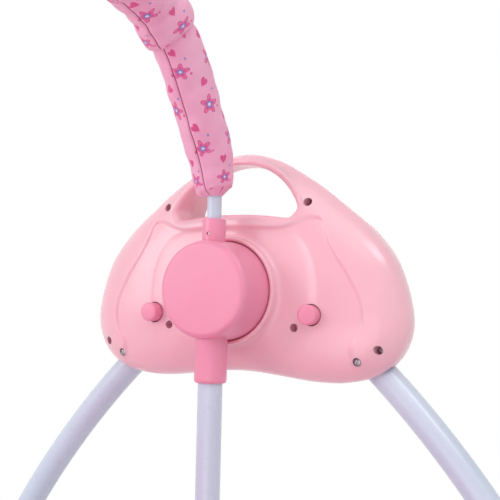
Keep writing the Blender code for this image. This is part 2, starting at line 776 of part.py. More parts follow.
def gear_outline(teeth, first_gap):
    """Straight-sided teeth, a gap or a tooth centred on the +Y direction."""
    pitch = teeth * GEAR_MODULE / 2
    step = 2 * math.pi / teeth
    shift = step / 2 if first_gap else 0.0
    outline = []
    for tooth in range(teeth):
        middle = tooth * step + shift
        for offset, radius in ((-0.29, -1.15), (-CUT_END, 0.85), (CUT_END, 0.85), (0.29, -1.15)):
            angle = middle + offset * step
            size = pitch + radius * GEAR_MODULE
            outline.append((size * math.cos(angle), size * math.sin(angle)))
    return outline


def crank_wheel():
    """Gear with a crank pin on its face and a journal on its back."""
    back = WHEEL_FACE_DEPTH + WHEEL_THICKNESS
    centre = (0.0, -WHEEL_DROP)
    body = prism(gear_outline(WHEEL_TEETH, True), WHEEL_FACE_DEPTH, back)
    moved(body, (0.0, *centre))
    body = join(body, rod(JOURNAL_RADIUS, back - 0.002, journal_end(), centre, 16))
    tip = fork_plate_back() + RUNNING_GAP
    crank = (0.0, -WHEEL_DROP - CRANK_THROW)
    return join(body, rod(CRANK_PIN_RADIUS, tip, WHEEL_FACE_DEPTH + 0.002, crank, 12))


def motor_pinion():
    """Pinion on the motor's shaft."""
    place = motor_place()
    body = prism(gear_outline(PINION_TEETH, False), WHEEL_FACE_DEPTH, WHEEL_FACE_DEPTH + WHEEL_THICKNESS)
    moved(body, (0.0, *place))
    end = motor_face() + MOTOR_SHAFT_REACH
    return join(body, rod(MOTOR_SHAFT_RADIUS, WHEEL_FACE_DEPTH + 0.003, end, place, 8))


def drive_motor():
    face = motor_face()
    body = turned([(face, 0.0), (face, MOTOR_RADIUS - 0.001), (face + 0.001, MOTOR_RADIUS),
                   (face + MOTOR_LENGTH - 0.001, MOTOR_RADIUS), (face + MOTOR_LENGTH, MOTOR_RADIUS - 0.001),
                   (face + MOTOR_LENGTH, 0.0)], 16)
    end = face + MOTOR_SHAFT_REACH + FIT_GAP
    body = cut(body, rod(MOTOR_SHAFT_RADIUS + FIT_GAP, face - 0.001, end, sides=8))
    return moved(body, (0.0, *motor_place()))


def fork_start():
    return BOSS_END_DEPTH + FIT_GAP


def fork_plate_back():
    return fork_start() + FORK_PLATE_START + FORK_PLATE


def drive_fork():
    """Lever on the swing shaft with a slot below, which the crank pin rocks."""
    start = fork_start()
    body = rod(FORK_HUB_RADIUS, start, start + FORK_HUB_LENGTH, sides=24)
    plate = block((start + FORK_PLATE_START, fork_plate_back()), (-FORK_HALF_WIDTH, FORK_HALF_WIDTH),
                  (-FORK_TIP, -0.004))
    body = join(body, plate)
    slot = CRANK_PIN_RADIUS + RUNNING_GAP
    high = -WHEEL_DROP + CRANK_THROW + slot
    body = cut(body, block((0.0, CUT_MIDDLE), (-slot, slot), (-FORK_TIP - 0.002, high)))
    return cut(body, rod(SHAFT_RADIUS + FIT_GAP, 0.0, CUT_MIDDLE, sides=24))


def swing_shaft(drive):
    """Steel shaft fixed in the hub cup, with a head that keeps it in the bush."""
    start = -CUP_LENGTH + CUP_WALL + 0.005 + FIT_GAP
    neck = fork_start() + (FORK_HUB_LENGTH + FIT_GAP if drive else 0.0)
    return turned([(start, 0.0), (start, SHAFT_RADIUS), (neck, SHAFT_RADIUS), (neck, SHAFT_HEAD_RADIUS),
                   (neck + SHAFT_HEAD, SHAFT_HEAD_RADIUS), (neck + SHAFT_HEAD, 0.0)], 16)


def bearing_bush():
    bore = SHAFT_RADIUS + FIT_GAP
    outer = bore + BUSH_WALL
    flange = SEAT_FLOOR_DEPTH - FIT_GAP
    return turned([(flange - BUSH_FLANGE, bore), (flange - BUSH_FLANGE, BUSH_FLANGE_RADIUS),
                   (flange, BUSH_FLANGE_RADIUS), (flange, outer), (BOSS_END_DEPTH, outer),
                   (BOSS_END_DEPTH, bore)], 12, closed=True)


def hub_cup():
    """Round cup over the bearing, with a socket above for the arch and one below for the arm."""
    edge = [(-CUP_LENGTH, CUP_FRONT_RADIUS - CUP_EDGE)]
    for i in range(1, 4):
        angle = math.pi / 2 * i / 3
        edge.append((-CUP_LENGTH + CUP_EDGE * (1 - math.cos(angle)),
                     CUP_FRONT_RADIUS - CUP_EDGE * (1 - math.sin(angle))))
    wide = RIM_RADIUS - RIM_WALL - HUB_GAP
    bore = SHAFT_RADIUS + FIT_GAP
    boss_end = SEAT_FLOOR_DEPTH - FIT_GAP - BUSH_FLANGE - FIT_GAP
    profile = [(-CUP_LENGTH, 0.0)] + edge + [
        (0.0, wide), (CUP_SKIRT, wide), (CUP_SKIRT, wide - CUP_WALL),
        (-CUP_LENGTH + CUP_WALL, CUP_FRONT_RADIUS - CUP_WALL), (-CUP_LENGTH + CUP_WALL, bore + BOSS_WALL),
        (boss_end, bore + BOSS_WALL), (boss_end, bore), (-CUP_LENGTH + CUP_WALL + 0.005, bore),
        (-CUP_LENGTH + CUP_WALL + 0.005, 0.0),
    ]
    body = turned(profile, 16)
    middle = (-ARM_OFFSET, 0.0)
    inside = CUP_FRONT_RADIUS - 0.004
    body = join(body, upright_rod(UPPER_SOCKET_RADIUS, inside, UPPER_SOCKET_TOP, middle, 12))
    low = LOWER_SOCKET_BOTTOM
    rings = []
    for z, r in ((-inside, LOWER_SOCKET_RADIUS), (low + SOCKET_CHAMFER, LOWER_SOCKET_RADIUS),
                 (low, LOWER_SOCKET_RADIUS - SOCKET_CHAMFER / 2)):
        rings.append([(middle[0] + a, middle[1] + b, z) for a, b in circle(r, 14)])
    body = join(body, mesh_from_rings("socket", rings))
    body = cut(body, upright_rod(ARCH_RADIUS + FIT_GAP, UPPER_SOCKET_TOP - SOCKET_DEPTH, 0.08, middle))
    return cut(body, upright_rod(ARM_RADIUS + FIT_GAP, low - 0.01, low + ARM_SOCKET_DEPTH, middle))


def lock_button():
    """Round button with a plunger that reaches toward the leg's upper end."""
    end = LEG_DEPTH - LEG_RADIUS - RUNNING_GAP
    body = turned([(BUTTON_FRONT, 0.0), (BUTTON_FRONT, BUTTON_RADIUS - 0.0015),
                   (BUTTON_FRONT + 0.0005, BUTTON_RADIUS - 0.0005), (BUTTON_FRONT + 0.002, BUTTON_RADIUS),
                   (BUTTON_BACK, BUTTON_RADIUS), (BUTTON_BACK, PLUNGER_RADIUS), (end, PLUNGER_RADIUS),
                   (end, 0.0)], 10)
    return body


def shell_screw():
    head = SCREW_WELL_DEPTH - FIT_GAP
    return turned([(head - SCREW_HEAD, 0.0), (head - SCREW_HEAD, SCREW_HEAD_RADIUS - 0.001),
                   (head - SCREW_HEAD + 0.001, SCREW_HEAD_RADIUS), (head, SCREW_HEAD_RADIUS),
                   (head, SCREW_RADIUS), (SCREW_WELL_DEPTH + SCREW_LENGTH, SCREW_RADIUS),
                   (SCREW_WELL_DEPTH + SCREW_LENGTH, 0.0)], 8)


def leg_pin():
    """Bolt that the leg turns on: its head in a well of the inner shell, its end through the outer one."""
    head = BOLT_WELL_DEPTH - FIT_GAP
    return turned([(head - BOLT_HEAD, 0.0), (head - BOLT_HEAD, BOLT_HEAD_RADIUS - 0.001),
                   (head - BOLT_HEAD + 0.001, BOLT_HEAD_RADIUS), (head, BOLT_HEAD_RADIUS),
                   (head, BOLT_RADIUS), (BOLT_END_DEPTH, BOLT_RADIUS), (BOLT_END_DEPTH, 0.0)], 8)


# Housings
INNER = inner_shell()
PLAIN_OUTER = outer_blank()
DRIVE_OUTER = drive_outer_shell()
BUSH = bearing_bush()
BUTTON = lock_button()
SCREW = shell_screw()
BOLT = leg_pin()
CUP = hub_cup()

for side, sign in SIDES:
    frame = HOUSINGS[side]
    piece(side + "_inner_shell", INNER, "pale_pink_shell", frame)
    piece(side + "_outer_shell", DRIVE_OUTER if side == "right" else PLAIN_OUTER, "pale_pink_shell", frame)
    piece(side + "_bearing_bush", BUSH, "nylon", frame)
    for end, way in ENDS:
        label = side + "_" + end
        local = way * sign
        for kind, mesh, place, material in (
                ("_leg_pin", BOLT, LEG_PIVOT, "steel"),
                ("_shell_screw", SCREW, CORNER_POST, "steel"),
                ("_lock_button", BUTTON, lock_place(), "hub_pink")):
            spot = (0.0, local * place[0], place[1])
            item = piece(label + kind, mesh, material, frame)
            item.location = spot

# Drive and electronics
DRIVE = HOUSINGS["right"]
WHEEL_AXIS = (0.0, 0.0, -WHEEL_DROP)
MOTOR_AXIS = (0.0, *motor_place())
piece("drive_motor", drive_motor(), "motor_steel", DRIVE, MOTOR_AXIS)
piece("motor_pinion", motor_pinion(), "nylon", DRIVE, MOTOR_AXIS)
piece("crank_wheel", crank_wheel(), "nylon", DRIVE, WHEEL_AXIS)
piece("drive_fork", drive_fork(), "nylon", DRIVE)

board = block((BOARD_DEPTH, BOARD_DEPTH + BOARD_THICKNESS), (DISH_FROM, DISH_TO),
              (-DISH_HALF_HEIGHT, DISH_HALF_HEIGHT))
piece("control_board", board, "circuit_green", DRIVE)

knob_floor = BACK_DEPTH - DISH_DEPTH + RUNNING_GAP
board_back = BOARD_DEPTH + BOARD_THICKNESS + RUNNING_GAP
knob_top = BACK_DEPTH - RUNNING_GAP
knob = turned([(board_back, 0.0), (board_back, KNOB_STEM_RADIUS), (knob_floor, KNOB_STEM_RADIUS),
               (knob_floor, KNOB_RADIUS), (knob_top - 0.001, KNOB_RADIUS - 0.0005),
               (knob_top, KNOB_RADIUS - 0.0015), (knob_top, 0.0)], 16)
pointer = block((knob_top - 0.0012, knob_top + 0.002), (-0.0012, 0.0012), (0.005, KNOB_RADIUS + 0.002))
knob = cut(knob, pointer)
piece("speed_knob", moved(knob, (0.0, KNOB_PLACE, 0.0)), "hub_pink", DRIVE, (0.0, KNOB_PLACE, 0.0))

music_floor = knob_floor + MUSIC_TRAVEL
music = turned([(board_back + MUSIC_TRAVEL, 0.0), (board_back + MUSIC_TRAVEL, MUSIC_STEM_RADIUS),
                (music_floor, MUSIC_STEM_RADIUS), (music_floor, MUSIC_RADIUS),
                (knob_top - 0.002, MUSIC_RADIUS), (knob_top - 0.001, MUSIC_RADIUS - 0.001),
                (knob_top - 0.001, 0.0)], 12)
piece("music_button", moved(music, (0.0, MUSIC_PLACE, 0.0)), "hub_pink", DRIVE, (0.0, MUSIC_PLACE, 0.0))

speaker_front = dome_depth(SPEAKER_PLACE - SPEAKER_RADIUS, 0.0, BACK_DEPTH - PARTING_DEPTH, PARTING_DEPTH)
speaker_front -= SHELL_WALL + SPEAKER_SETBACK
speaker = turned([(speaker_front - SPEAKER_THICKNESS, 0.0), (speaker_front - SPEAKER_THICKNESS, 0.010),
                  (speaker_front - 0.003, SPEAKER_RADIUS - 0.003), (speaker_front - 0.003, SPEAKER_RADIUS),
                  (speaker_front, SPEAKER_RADIUS), (speaker_front, 0.0)], 10)
piece("speaker", moved(speaker, (0.0, SPEAKER_PLACE, 0.0)), "speaker_black", DRIVE)

piece("battery_door", battery_door(), "pale_pink_shell", DRIVE)
number = 1
for row in (0, 1):
    for column in (-1, 1):
        level = CELL_LEVEL + row * (2 * CELL_RADIUS + CELL_SPACING)
        depth = BOX_FLOOR_DEPTH + CELL_RADIUS + FIT_GAP
        middle = column * (CELL_LENGTH + CELL_SPACING) / 2
        rings = []
        for reach, size in ((-0.5, CELL_RADIUS), (0.47, CELL_RADIUS), (0.47, 0.0028), (0.5, 0.0028)):
            y = middle + reach * CELL_LENGTH
            rings.append([(depth + a, y, level + b) for a, b in circle(size, 12)])
        piece("battery_cell_%d" % number, mesh_from_rings("cell", rings), "cell_grey", DRIVE)
        number += 1

# Legs, floor bars and feet, drawn in the world frame about their fold axes
LEG_PLANE = HOUSING_SPREAD + LEG_DEPTH
LEG_CURVE_START = (LEG_PIVOT[0] + LEG_STRAIGHT * math.sin(LEG_LEAN),
                   LEG_PIVOT[1] - LEG_STRAIGHT * math.cos(LEG_LEAN))


def leg_path(side, end):
    """Straight through the housing, then a wide curve down to the foot."""
    start = Vector((0.0, LEG_PIVOT[0], LEG_PIVOT[1])) - leg_direction(LEG_LEAN, 1) * LEG_TOP_REACH
    points = [start]
    drop = PIVOT_HEIGHT + LEG_CURVE_START[1] - LEG_END_HEIGHT
    last = math.asin(max(-0.9, math.sin(LEG_LEAN) - drop / LEG_CURVE_RADIUS))
    for i in range(7):
        lean = LEG_LEAN + (last - LEG_LEAN) * i / 6
        y = LEG_CURVE_START[0] + LEG_CURVE_RADIUS * (math.cos(lean) - math.cos(LEG_LEAN))
        z = LEG_CURVE_START[1] - LEG_CURVE_RADIUS * (math.sin(LEG_LEAN) - math.sin(lean))
        points.append(Vector((0.0, y, z)))
    return [Vector((side * LEG_PLANE, end * p.y, p.z + PIVOT_HEIGHT)) for p in points]


FOOT_PLACE = leg_path(1, 1)[-1]


def leg_tube(side, end):
    body = tube(leg_path(side, end), LEG_RADIUS, TUBE_WALL)
    tools = []
    for place, radius in ((LEG_PIVOT, BOLT_RADIUS), (lock_place(), PLUNGER_RADIUS)):
        spot = (end * place[0], place[1] + PIVOT_HEIGHT)
        reach = LEG_RADIUS + 0.004
        if place is LEG_PIVOT:
            tools.append(rod(radius + FIT_GAP, -reach, reach, spot, 12))
        else:
            tools.append(rod(radius + FIT_GAP, -reach * side, 0.0, spot, 12))
    for tool in tools:
        body = cut(body, moved(tool, (side * LEG_PLANE, 0.0, 0.0)))
    return body


def corner_foot(side, end):
    """Soft elbow that joins a leg to its floor bar and stands on the floor."""
    path = leg_path(side, end)
    low = path[-1]
    up = (path[-2] - path[-1]).normalized()
    start = low - up * (LEG_END_HEIGHT - FOOT_BASE) / up.z
    stand = [start, low + up * (FOOT_HEIGHT - LEG_END_HEIGHT)]
    sections = [circle(FOOT_RADIUS, 14)] * 2
    body = mesh_from_rings("stand", swept(stand, sections))
    inner = side * (LEG_PLANE - FOOT_REACH)
    centre = (low.y, BAR_HEIGHT)
    body = join(body, rod(FOOT_RADIUS - 0.0005, side * LEG_PLANE, inner, centre, 14))
    half = FOOT_RADIUS * 0.8
    base = block(sorted((inner, side * (LEG_PLANE + half))), (low.y - half, low.y + half), (0.0, BAR_HEIGHT))
    body = join(body, base)
    socket = mesh_from_rings("socket", swept([low - up * FIT_GAP, low + up * 0.08],
                                             [circle(clear_of(LEG_RADIUS, 14), 14)] * 2))
    body = cut(body, socket)
    bar_end = side * (LEG_PLANE - BAR_INSET + FIT_GAP)
    return cut(body, rod(clear_of(LEG_RADIUS, 14), bar_end, inner - side * 0.01, centre, 14))


FOLD_AXIS = {}
for end, way in ENDS:
    axis = guide(end + "_fold_axis", (0.0, way * LEG_PIVOT[0], PIVOT_HEIGHT + LEG_PIVOT[1]))
    FOLD_AXIS[end] = axis
    back = Matrix.Translation(-axis.location)
    for side, sign in SIDES:
        leg = leg_tube(sign, way)
        leg.transform(back)
        piece(side + "_" + end + "_leg", leg, "tube_paint", axis)
        foot = corner_foot(sign, way)
        foot.transform(back)
        piece(side + "_" + end + "_foot", foot, "foot_rubber", axis)
    reach = LEG_PLANE - BAR_INSET
    bar = tube([Vector((x, way * FOOT_PLACE.y, BAR_HEIGHT)) for x in (-reach, reach)], LEG_RADIUS, TUBE_WALL)
    bar.transform(back)
    piece(end + "_floor_bar", bar, "tube_paint", axis)

# Swinging frame, drawn about the swing axis
SWING = guide("swing_axis", (0.0, 0.0, PIVOT_HEIGHT))
ARM_PLANE = HOUSING_SPREAD - ARM_OFFSET


def arch_path():
    """From one upper socket over the seat to the other, in the plane of the arms."""
    low = UPPER_SOCKET_TOP - SOCKET_DEPTH + FIT_GAP
    shoulder = ARM_PLANE - (ARCH_TOP_HEIGHT - ARCH_KNEE_HEIGHT) * math.tan(ARCH_LEAN)
    half = [(ARM_PLANE, 0.0, low), (ARM_PLANE, 0.0, ARCH_KNEE_HEIGHT), (shoulder, 0.0, ARCH_TOP_HEIGHT)]
    other = [(-x, y, z) for x, y, z in half]
    radii = [ARCH_KNEE_RADIUS, ARCH_SHOULDER_RADIUS, ARCH_SHOULDER_RADIUS, ARCH_KNEE_RADIUS]
    return rounded_path(half + other[::-1], radii)


ARCH = arch_path()
ARCH_LENGTH = path_length(ARCH)[-1]


def sleeve(stations):
    """Fabric tube round the arch from (distance, outer radius, inner radius) stations."""
    kept = [station[0] for station in stations]
    inside = [d for d in path_length(ARCH) if kept[0] < d < kept[-1]]
    bends = [d for d in inside if min(abs(d - k) for k in kept) > SLEEVE_RING_SPACE]
    rows = []
    for distance in sorted(kept + bends):
        index = max(i for i in range(len(stations) - 1) if kept[i] <= distance)
        (first, *near), (last, *far) = stations[index:index + 2]
        share = (distance - first) / (last - first)
        rows.append((distance, *(a + (b - a) * share for a, b in zip(near, far))))
    points = [along(ARCH, row[0]) for row in rows]
    outside = swept(points, [circle(row[1], SLEEVE_SIDES) for row in rows])
    bore = swept(points, [circle(row[2], SLEEVE_SIDES) for row in rows])
    return mesh_from_rings("sleeve", outside + bore[::-1], closed=True)


def side_sleeve():
    """Lower sleeve: drawn in at its bottom hem, then even, with shallow creases."""
    bore = ARCH_RADIUS + SLEEVE_GAP
    end = SLEEVE_HEM + SLEEVE_OVERLAP
    stations = [(SLEEVE_START, SLEEVE_LOW_RADIUS, bore)]
    for share, size in ((0.06, 0.84), (0.16, 0.93), (0.28, 0.97), (0.38, 0.945), (0.46, 1.0), (0.58, 0.985),
                        (0.68, 1.02), (0.76, 0.99), (0.86, 1.03), (0.94, 1.01), (1.0, 0.97)):
        stations.append((SLEEVE_START + (end - SLEEVE_START) * share, SLEEVE_RADIUS * size, bore))
    return sleeve(stations)


def top_sleeve():
    """Fuller sleeve over the top of the arch, its hems lapping over the side sleeves."""
    bore = ARCH_RADIUS + SLEEVE_GAP
    lap = clear_of(SLEEVE_RADIUS * 1.03, SLEEVE_SIDES)
    deep = SLEEVE_HEM + SLEEVE_OVERLAP + 0.001
    half = [(SLEEVE_HEM, lap + SLEEVE_CLOTH, lap), (SLEEVE_HEM + 0.006, lap + SLEEVE_CLOTH * 1.6, lap),
            (deep, SLEEVE_TOP_RADIUS * 0.97, lap), (deep + 0.002, SLEEVE_TOP_RADIUS * 0.99, bore)]
    middle = ARCH_LENGTH / 2
    for share, size in ((0.12, 1.0), (0.24, 0.94), (0.36, 1.0), (0.50, 0.95), (0.64, 1.0), (0.80, 0.95)):
        half.append((deep + (middle - deep) * share, SLEEVE_TOP_RADIUS * size, bore))
    other = [(ARCH_LENGTH - distance, outer, inner) for distance, outer, inner in half]
    return sleeve(half + [(middle, SLEEVE_TOP_RADIUS, bore)] + other[::-1])


piece("arch_tube", tube(ARCH, ARCH_RADIUS, TUBE_WALL), "tube_paint", SWING)
SIDE_SLEEVE = side_sleeve()
piece("right_arch_sleeve", SIDE_SLEEVE, "pink_fabric", SWING)
other_sleeve = SIDE_SLEEVE.copy()
other_sleeve.transform(Matrix.Rotation(math.pi, 4, "Z"))
piece("left_arch_sleeve", other_sleeve, "pink_fabric", SWING)
piece("top_arch_sleeve", top_sleeve(), "pink_fabric", SWING)

for side, sign in SIDES:
    turn = Matrix.Rotation(0.0 if sign > 0 else math.pi, 4, "Z")
    place = turn @ Matrix.Translation((HOUSING_SPREAD, 0.0, 0.0))
    cup = CUP.copy()
    cup.transform(place)
    piece(side + "_hub_cup", cup, "hub_pink", SWING)
    shaft = swing_shaft(side == "right")
    shaft.transform(place)
    piece(side + "_swing_shaft", shaft, "steel", SWING)
    top = LOWER_SOCKET_BOTTOM + ARM_SOCKET_DEPTH - FIT_GAP
    low = -SEAT_DROP + ARM_RADIUS + FIT_GAP
    arm = tube([Vector((sign * ARM_PLANE, 0.0, z)) for z in (top, low)], ARM_RADIUS, TUBE_WALL, 12)
    piece(side + "_arm_tube", arm, "tube_paint", SWING)


def seat_path():
    """Loop of tube: front bar, side rails, reclined back; its ends butt at the front."""
    level = -SEAT_DROP
    top = (SEAT_TOP_HALF_WIDTH, SEAT_BEND + SEAT_BACK_RUN, level + SEAT_BACK_RISE)
    half = [(FIT_GAP, SEAT_FRONT, level), (ARM_PLANE, SEAT_FRONT, level), (ARM_PLANE, SEAT_BEND, level), top]
    other = [(-x, y, z) for x, y, z in half]
    radii = [SEAT_CORNER_RADIUS, SEAT_BEND_RADIUS, SEAT_CORNER_RADIUS]
    return rounded_path(half + other[::-1], radii + radii[::-1], math.radians(30))


piece("seat_frame", tube(seat_path(), ARM_RADIUS, TUBE_WALL), "tube_paint", SWING)


def corner_inset(distance, radius):
    """How far a rounded corner draws the side in at a distance from the end."""
    if distance >= radius:
        return 0.0
    return radius - math.sqrt(radius ** 2 - (radius - distance) ** 2)


def cushion(half_near, half_far, length, thickness, corners, channels):
    """Pad in the XY plane: crowned, its sides drawn in, with channels across it."""
    steps = CUSHION_STEPS
    top = []
    bottom = []
    for j in range(steps + 1):
        v = -math.cos(math.pi * j / steps)
        y = length * (v + 1) / 2
        half = half_near + (half_far - half_near) * y / length
        half -= corner_inset(y, corners[0]) + corner_inset(length - y, corners[1])
        row_top = []
        row_bottom = []
        for i in range(steps + 1):
            u = 2 * i / steps - 1
            reach = half - CUSHION_SIDE_DRAW * (1 - v * v) * abs(u) ** 3
            swell = ((1 - u ** 4) * (1 - v ** 4)) ** 0.4
            crown = thickness * 0.6 * swell
            belly = thickness * 0.4 * swell
            for place in channels:
                crown -= CUSHION_CHANNEL * swell * math.exp(-((v - place) / 0.09) ** 2)
            x = u * reach
            row_top.append((x, y, crown + CUSHION_SEAM / 2))
            row_bottom.append((x, y, -belly - CUSHION_SEAM / 2))
        top.append(row_top)
        bottom.append(row_bottom)
    shape = bmesh.new()
    upper = [[shape.verts.new(point) for point in row] for row in top]
    lower = [[shape.verts.new(point) for point in row] for row in bottom]
    for grid in (upper, lower):
        for j in range(steps):
            for i in range(steps):
                shape.faces.new((grid[j][i], grid[j][i + 1], grid[j + 1][i + 1], grid[j + 1][i]))
    border = [(0, i) for i in range(steps)] + [(j, steps) for j in range(steps)]
    border += [(steps, steps - i) for i in range(steps)] + [(steps - j, 0) for j in range(steps)]
    for (a, b), (c, d) in zip(border, border[1:] + border[:1]):
        shape.faces.new((upper[a][b], lower[a][b], lower[c][d], upper[c][d]))
    bmesh.ops.recalc_face_normals(shape, faces=shape.faces)
    mesh = bpy.data.meshes.new("cushion")
    shape.to_mesh(mesh)
    shape.free()
    return mesh


RAIL_INSIDE = ARM_PLANE - ARM_RADIUS - FIT_GAP
RECLINE = math.atan2(SEAT_BACK_RISE, SEAT_BACK_RUN)
SEAT_LENGTH = SEAT_BEND - SEAT_FRONT - ARM_RADIUS - 2 * CUSHION_END_GAP
BACK_LENGTH = math.hypot(SEAT_BACK_RUN, SEAT_BACK_RISE) - ARM_RADIUS
CUSHION_FOLD_GAP = 0.022

seat = cushion(RAIL_INSIDE, RAIL_INSIDE, SEAT_LENGTH - CUSHION_FOLD_GAP, CUSHION_THICKNESS,
               (SEAT_CORNER_RADIUS, CUSHION_CORNER), (-0.35, 0.35))
seat.transform(Matrix.Translation((0.0, SEAT_FRONT + ARM_RADIUS + CUSHION_END_GAP, -SEAT_DROP)))
piece("seat_cushion", seat, "pink_fabric", SWING)

taper = (ARM_PLANE - SEAT_TOP_HALF_WIDTH) * 0.92
back = cushion(RAIL_INSIDE - 0.004, RAIL_INSIDE - taper, BACK_LENGTH - CUSHION_FOLD_GAP,
               CUSHION_THICKNESS, (CUSHION_CORNER, SEAT_CORNER_RADIUS), (-0.5, 0.0, 0.5))
back.transform(Matrix.Translation((0.0, CUSHION_FOLD_GAP, 0.0)))
back.transform(Matrix.Rotation(RECLINE, 4, "X"))
back.transform(Matrix.Translation((0.0, SEAT_BEND, -SEAT_DROP)))
piece("back_cushion", back, "pink_fabric", SWING)


# Harness
def strap(points, up=Vector((0.0, 0.0, 1.0))):
    """Flat webbing along a path, its face turned up."""
    rings = []
    for i, point in enumerate(points):
        tangent = (points[min(i + 1, len(points) - 1)] - points[max(i - 1, 0)]).normalized()
        side = tangent.cross(up).normalized()
        face = side.cross(tangent)
        ring = []
        for a, b in ((-1, -1), (1, -1), (1, 1), (-1, 1)):
            ring.append(tuple(point + side * a * STRAP_WIDTH / 2 + face * b * STRAP_THICKNESS / 2))
        rings.append(ring)
    return mesh_from_rings("strap", rings)


SEAT_TOP = -SEAT_DROP + CUSHION_THICKNESS * 0.6 + CUSHION_SEAM / 2
BUCKLE_LEVEL = SEAT_TOP + FIT_GAP + BUCKLE_THICKNESS / 2
BUCKLE_FRONT = BUCKLE_PLACE - BUCKLE_HALF_LENGTH
STRAP_LEVEL = SEAT_TOP + STRAP_THICKNESS / 2 + 2 * FIT_GAP
CHANNEL_PLACE = SEAT_FRONT + ARM_RADIUS + CUSHION_END_GAP + (SEAT_LENGTH - CUSHION_FOLD_GAP) * 0.325

crotch = [(0.0, CHANNEL_PLACE, STRAP_LEVEL), (0.0, BUCKLE_FRONT - 0.022, STRAP_LEVEL),
          (0.0, BUCKLE_FRONT - 0.009, BUCKLE_LEVEL), (0.0, BUCKLE_FRONT - FIT_GAP, BUCKLE_LEVEL)]
crotch = rounded_path(crotch, [0.012, 0.010], math.radians(14))
piece("crotch_strap", strap(crotch), "strap_webbing", SWING)
for side, sign in SIDES:
    lap = [(STRAP_SPREAD, SEAT_BEND - 0.010, SEAT_TOP - 0.010),
           (STRAP_SPREAD, SEAT_BEND - 0.034, SEAT_TOP + 0.004),
           (BUCKLE_HALF_WIDTH + 0.034, BUCKLE_PLACE, BUCKLE_LEVEL),
           (BUCKLE_HALF_WIDTH + FIT_GAP, BUCKLE_PLACE, BUCKLE_LEVEL)]
    lap = rounded_path([(sign * x, y, z) for x, y, z in lap], [0.020, 0.035], math.radians(14))
    piece(side + "_waist_strap", strap(lap), "strap_webbing", SWING)


def buckle():
    """Rounded block with a pocket for its release button."""
    half = BUCKLE_THICKNESS / 2
    corner = 2 * BUCKLE_EDGE
    outline = []
    for across, along_y in circle(1.0, 16, math.pi / 16):
        x = math.copysign(BUCKLE_HALF_WIDTH - corner, across) + corner * across
        y = math.copysign(BUCKLE_HALF_LENGTH - corner, along_y) + corner * along_y
        outline.append((x, y))
    rings = []
    for level, shrink in ((-half, BUCKLE_RIM_SHARE), (-half + BUCKLE_EDGE / 2, 1.0),
                          (half - BUCKLE_EDGE / 2, 1.0), (half, BUCKLE_RIM_SHARE)):
        rings.append([(x * shrink, BUCKLE_PLACE + y * shrink, BUCKLE_LEVEL + level) for x, y in outline])
    body = mesh_from_rings("buckle", rings)
    reach = BUCKLE_BUTTON_HALF + FIT_GAP
    floor = BUCKLE_LEVEL + half - BUCKLE_BUTTON_DEPTH
    pocket = block((-reach, reach), (BUCKLE_PLACE - reach, BUCKLE_PLACE + reach),
                   (floor, BUCKLE_LEVEL + BUCKLE_THICKNESS))
    return cut(body, pocket)


piece("harness_buckle", buckle(), "hub_pink", SWING)
button_floor = BUCKLE_LEVEL + BUCKLE_THICKNESS / 2 - BUCKLE_BUTTON_DEPTH + BUCKLE_BUTTON_TRAVEL + FIT_GAP
button_top = BUCKLE_LEVEL + BUCKLE_THICKNESS / 2 + FIT_GAP
release = block((-BUCKLE_BUTTON_HALF, BUCKLE_BUTTON_HALF),
                (BUCKLE_PLACE - BUCKLE_BUTTON_HALF, BUCKLE_PLACE + BUCKLE_BUTTON_HALF),
                (button_floor, button_top))
piece("buckle_button", release, "nylon", SWING, (0.0, BUCKLE_PLACE, button_floor))

total = 0
for item in bpy.data.objects:
    if item.type == "MESH":
        item.data.calc_loop_triangles()
        total += len(item.data.loop_triangles)
        print(item.name, len(item.data.loop_triangles))
print("triangles", total)
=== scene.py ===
import math
from functools import partial

import bpy
import numpy as np
from mathutils import Matrix, Vector


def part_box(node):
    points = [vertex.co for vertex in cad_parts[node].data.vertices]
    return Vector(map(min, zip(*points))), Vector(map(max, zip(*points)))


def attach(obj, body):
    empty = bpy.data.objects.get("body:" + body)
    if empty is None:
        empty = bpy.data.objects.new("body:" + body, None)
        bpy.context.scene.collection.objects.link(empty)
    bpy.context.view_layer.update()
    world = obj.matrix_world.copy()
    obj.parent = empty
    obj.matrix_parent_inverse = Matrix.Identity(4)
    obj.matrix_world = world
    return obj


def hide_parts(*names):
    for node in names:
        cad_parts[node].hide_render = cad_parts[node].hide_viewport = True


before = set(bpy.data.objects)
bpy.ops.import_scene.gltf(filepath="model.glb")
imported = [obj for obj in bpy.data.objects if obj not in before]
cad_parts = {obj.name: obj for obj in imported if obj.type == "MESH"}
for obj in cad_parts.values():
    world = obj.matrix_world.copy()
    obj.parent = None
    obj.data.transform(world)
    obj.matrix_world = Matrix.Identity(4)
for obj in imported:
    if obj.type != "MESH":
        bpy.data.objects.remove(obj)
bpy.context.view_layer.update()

# Where the two housings stand: d runs outward from the hub ring, y and z from the swing axis
place = {"pivotHeight": 0.570, "spread": 0.255, "armOffset": 0.0207, "legDepth": 0.051, "gap": 0.0003}
place["armPlane"] = place["spread"] - place["armOffset"]
place["legPlane"] = place["spread"] + place["legDepth"]
rightHousing = Matrix.Translation((place["spread"], 0.0, place["pivotHeight"]))
upToPivot = Matrix.Translation((0.0, 0.0, place["pivotHeight"]))
halfTurn = Matrix.Rotation(math.pi, 4, "Z")
fullTurn = 2 * math.pi


# Small modelling tools
def startFresh():
    if bpy.context.object and bpy.context.object.mode != "OBJECT":
        bpy.ops.object.mode_set(mode="OBJECT")
    bpy.ops.object.select_all(action="DESELECT")


def pick(item):
    startFresh()
    item.select_set(True)
    bpy.context.view_layer.objects.active = item


def named(name):
    # the object that was just added
    item = bpy.context.object
    item.name = name
    return item


def readPoints(item):
    flat = np.zeros(len(item.data.vertices) * 3)
    item.data.vertices.foreach_get("co", flat)
    return flat.reshape(-1, 3)


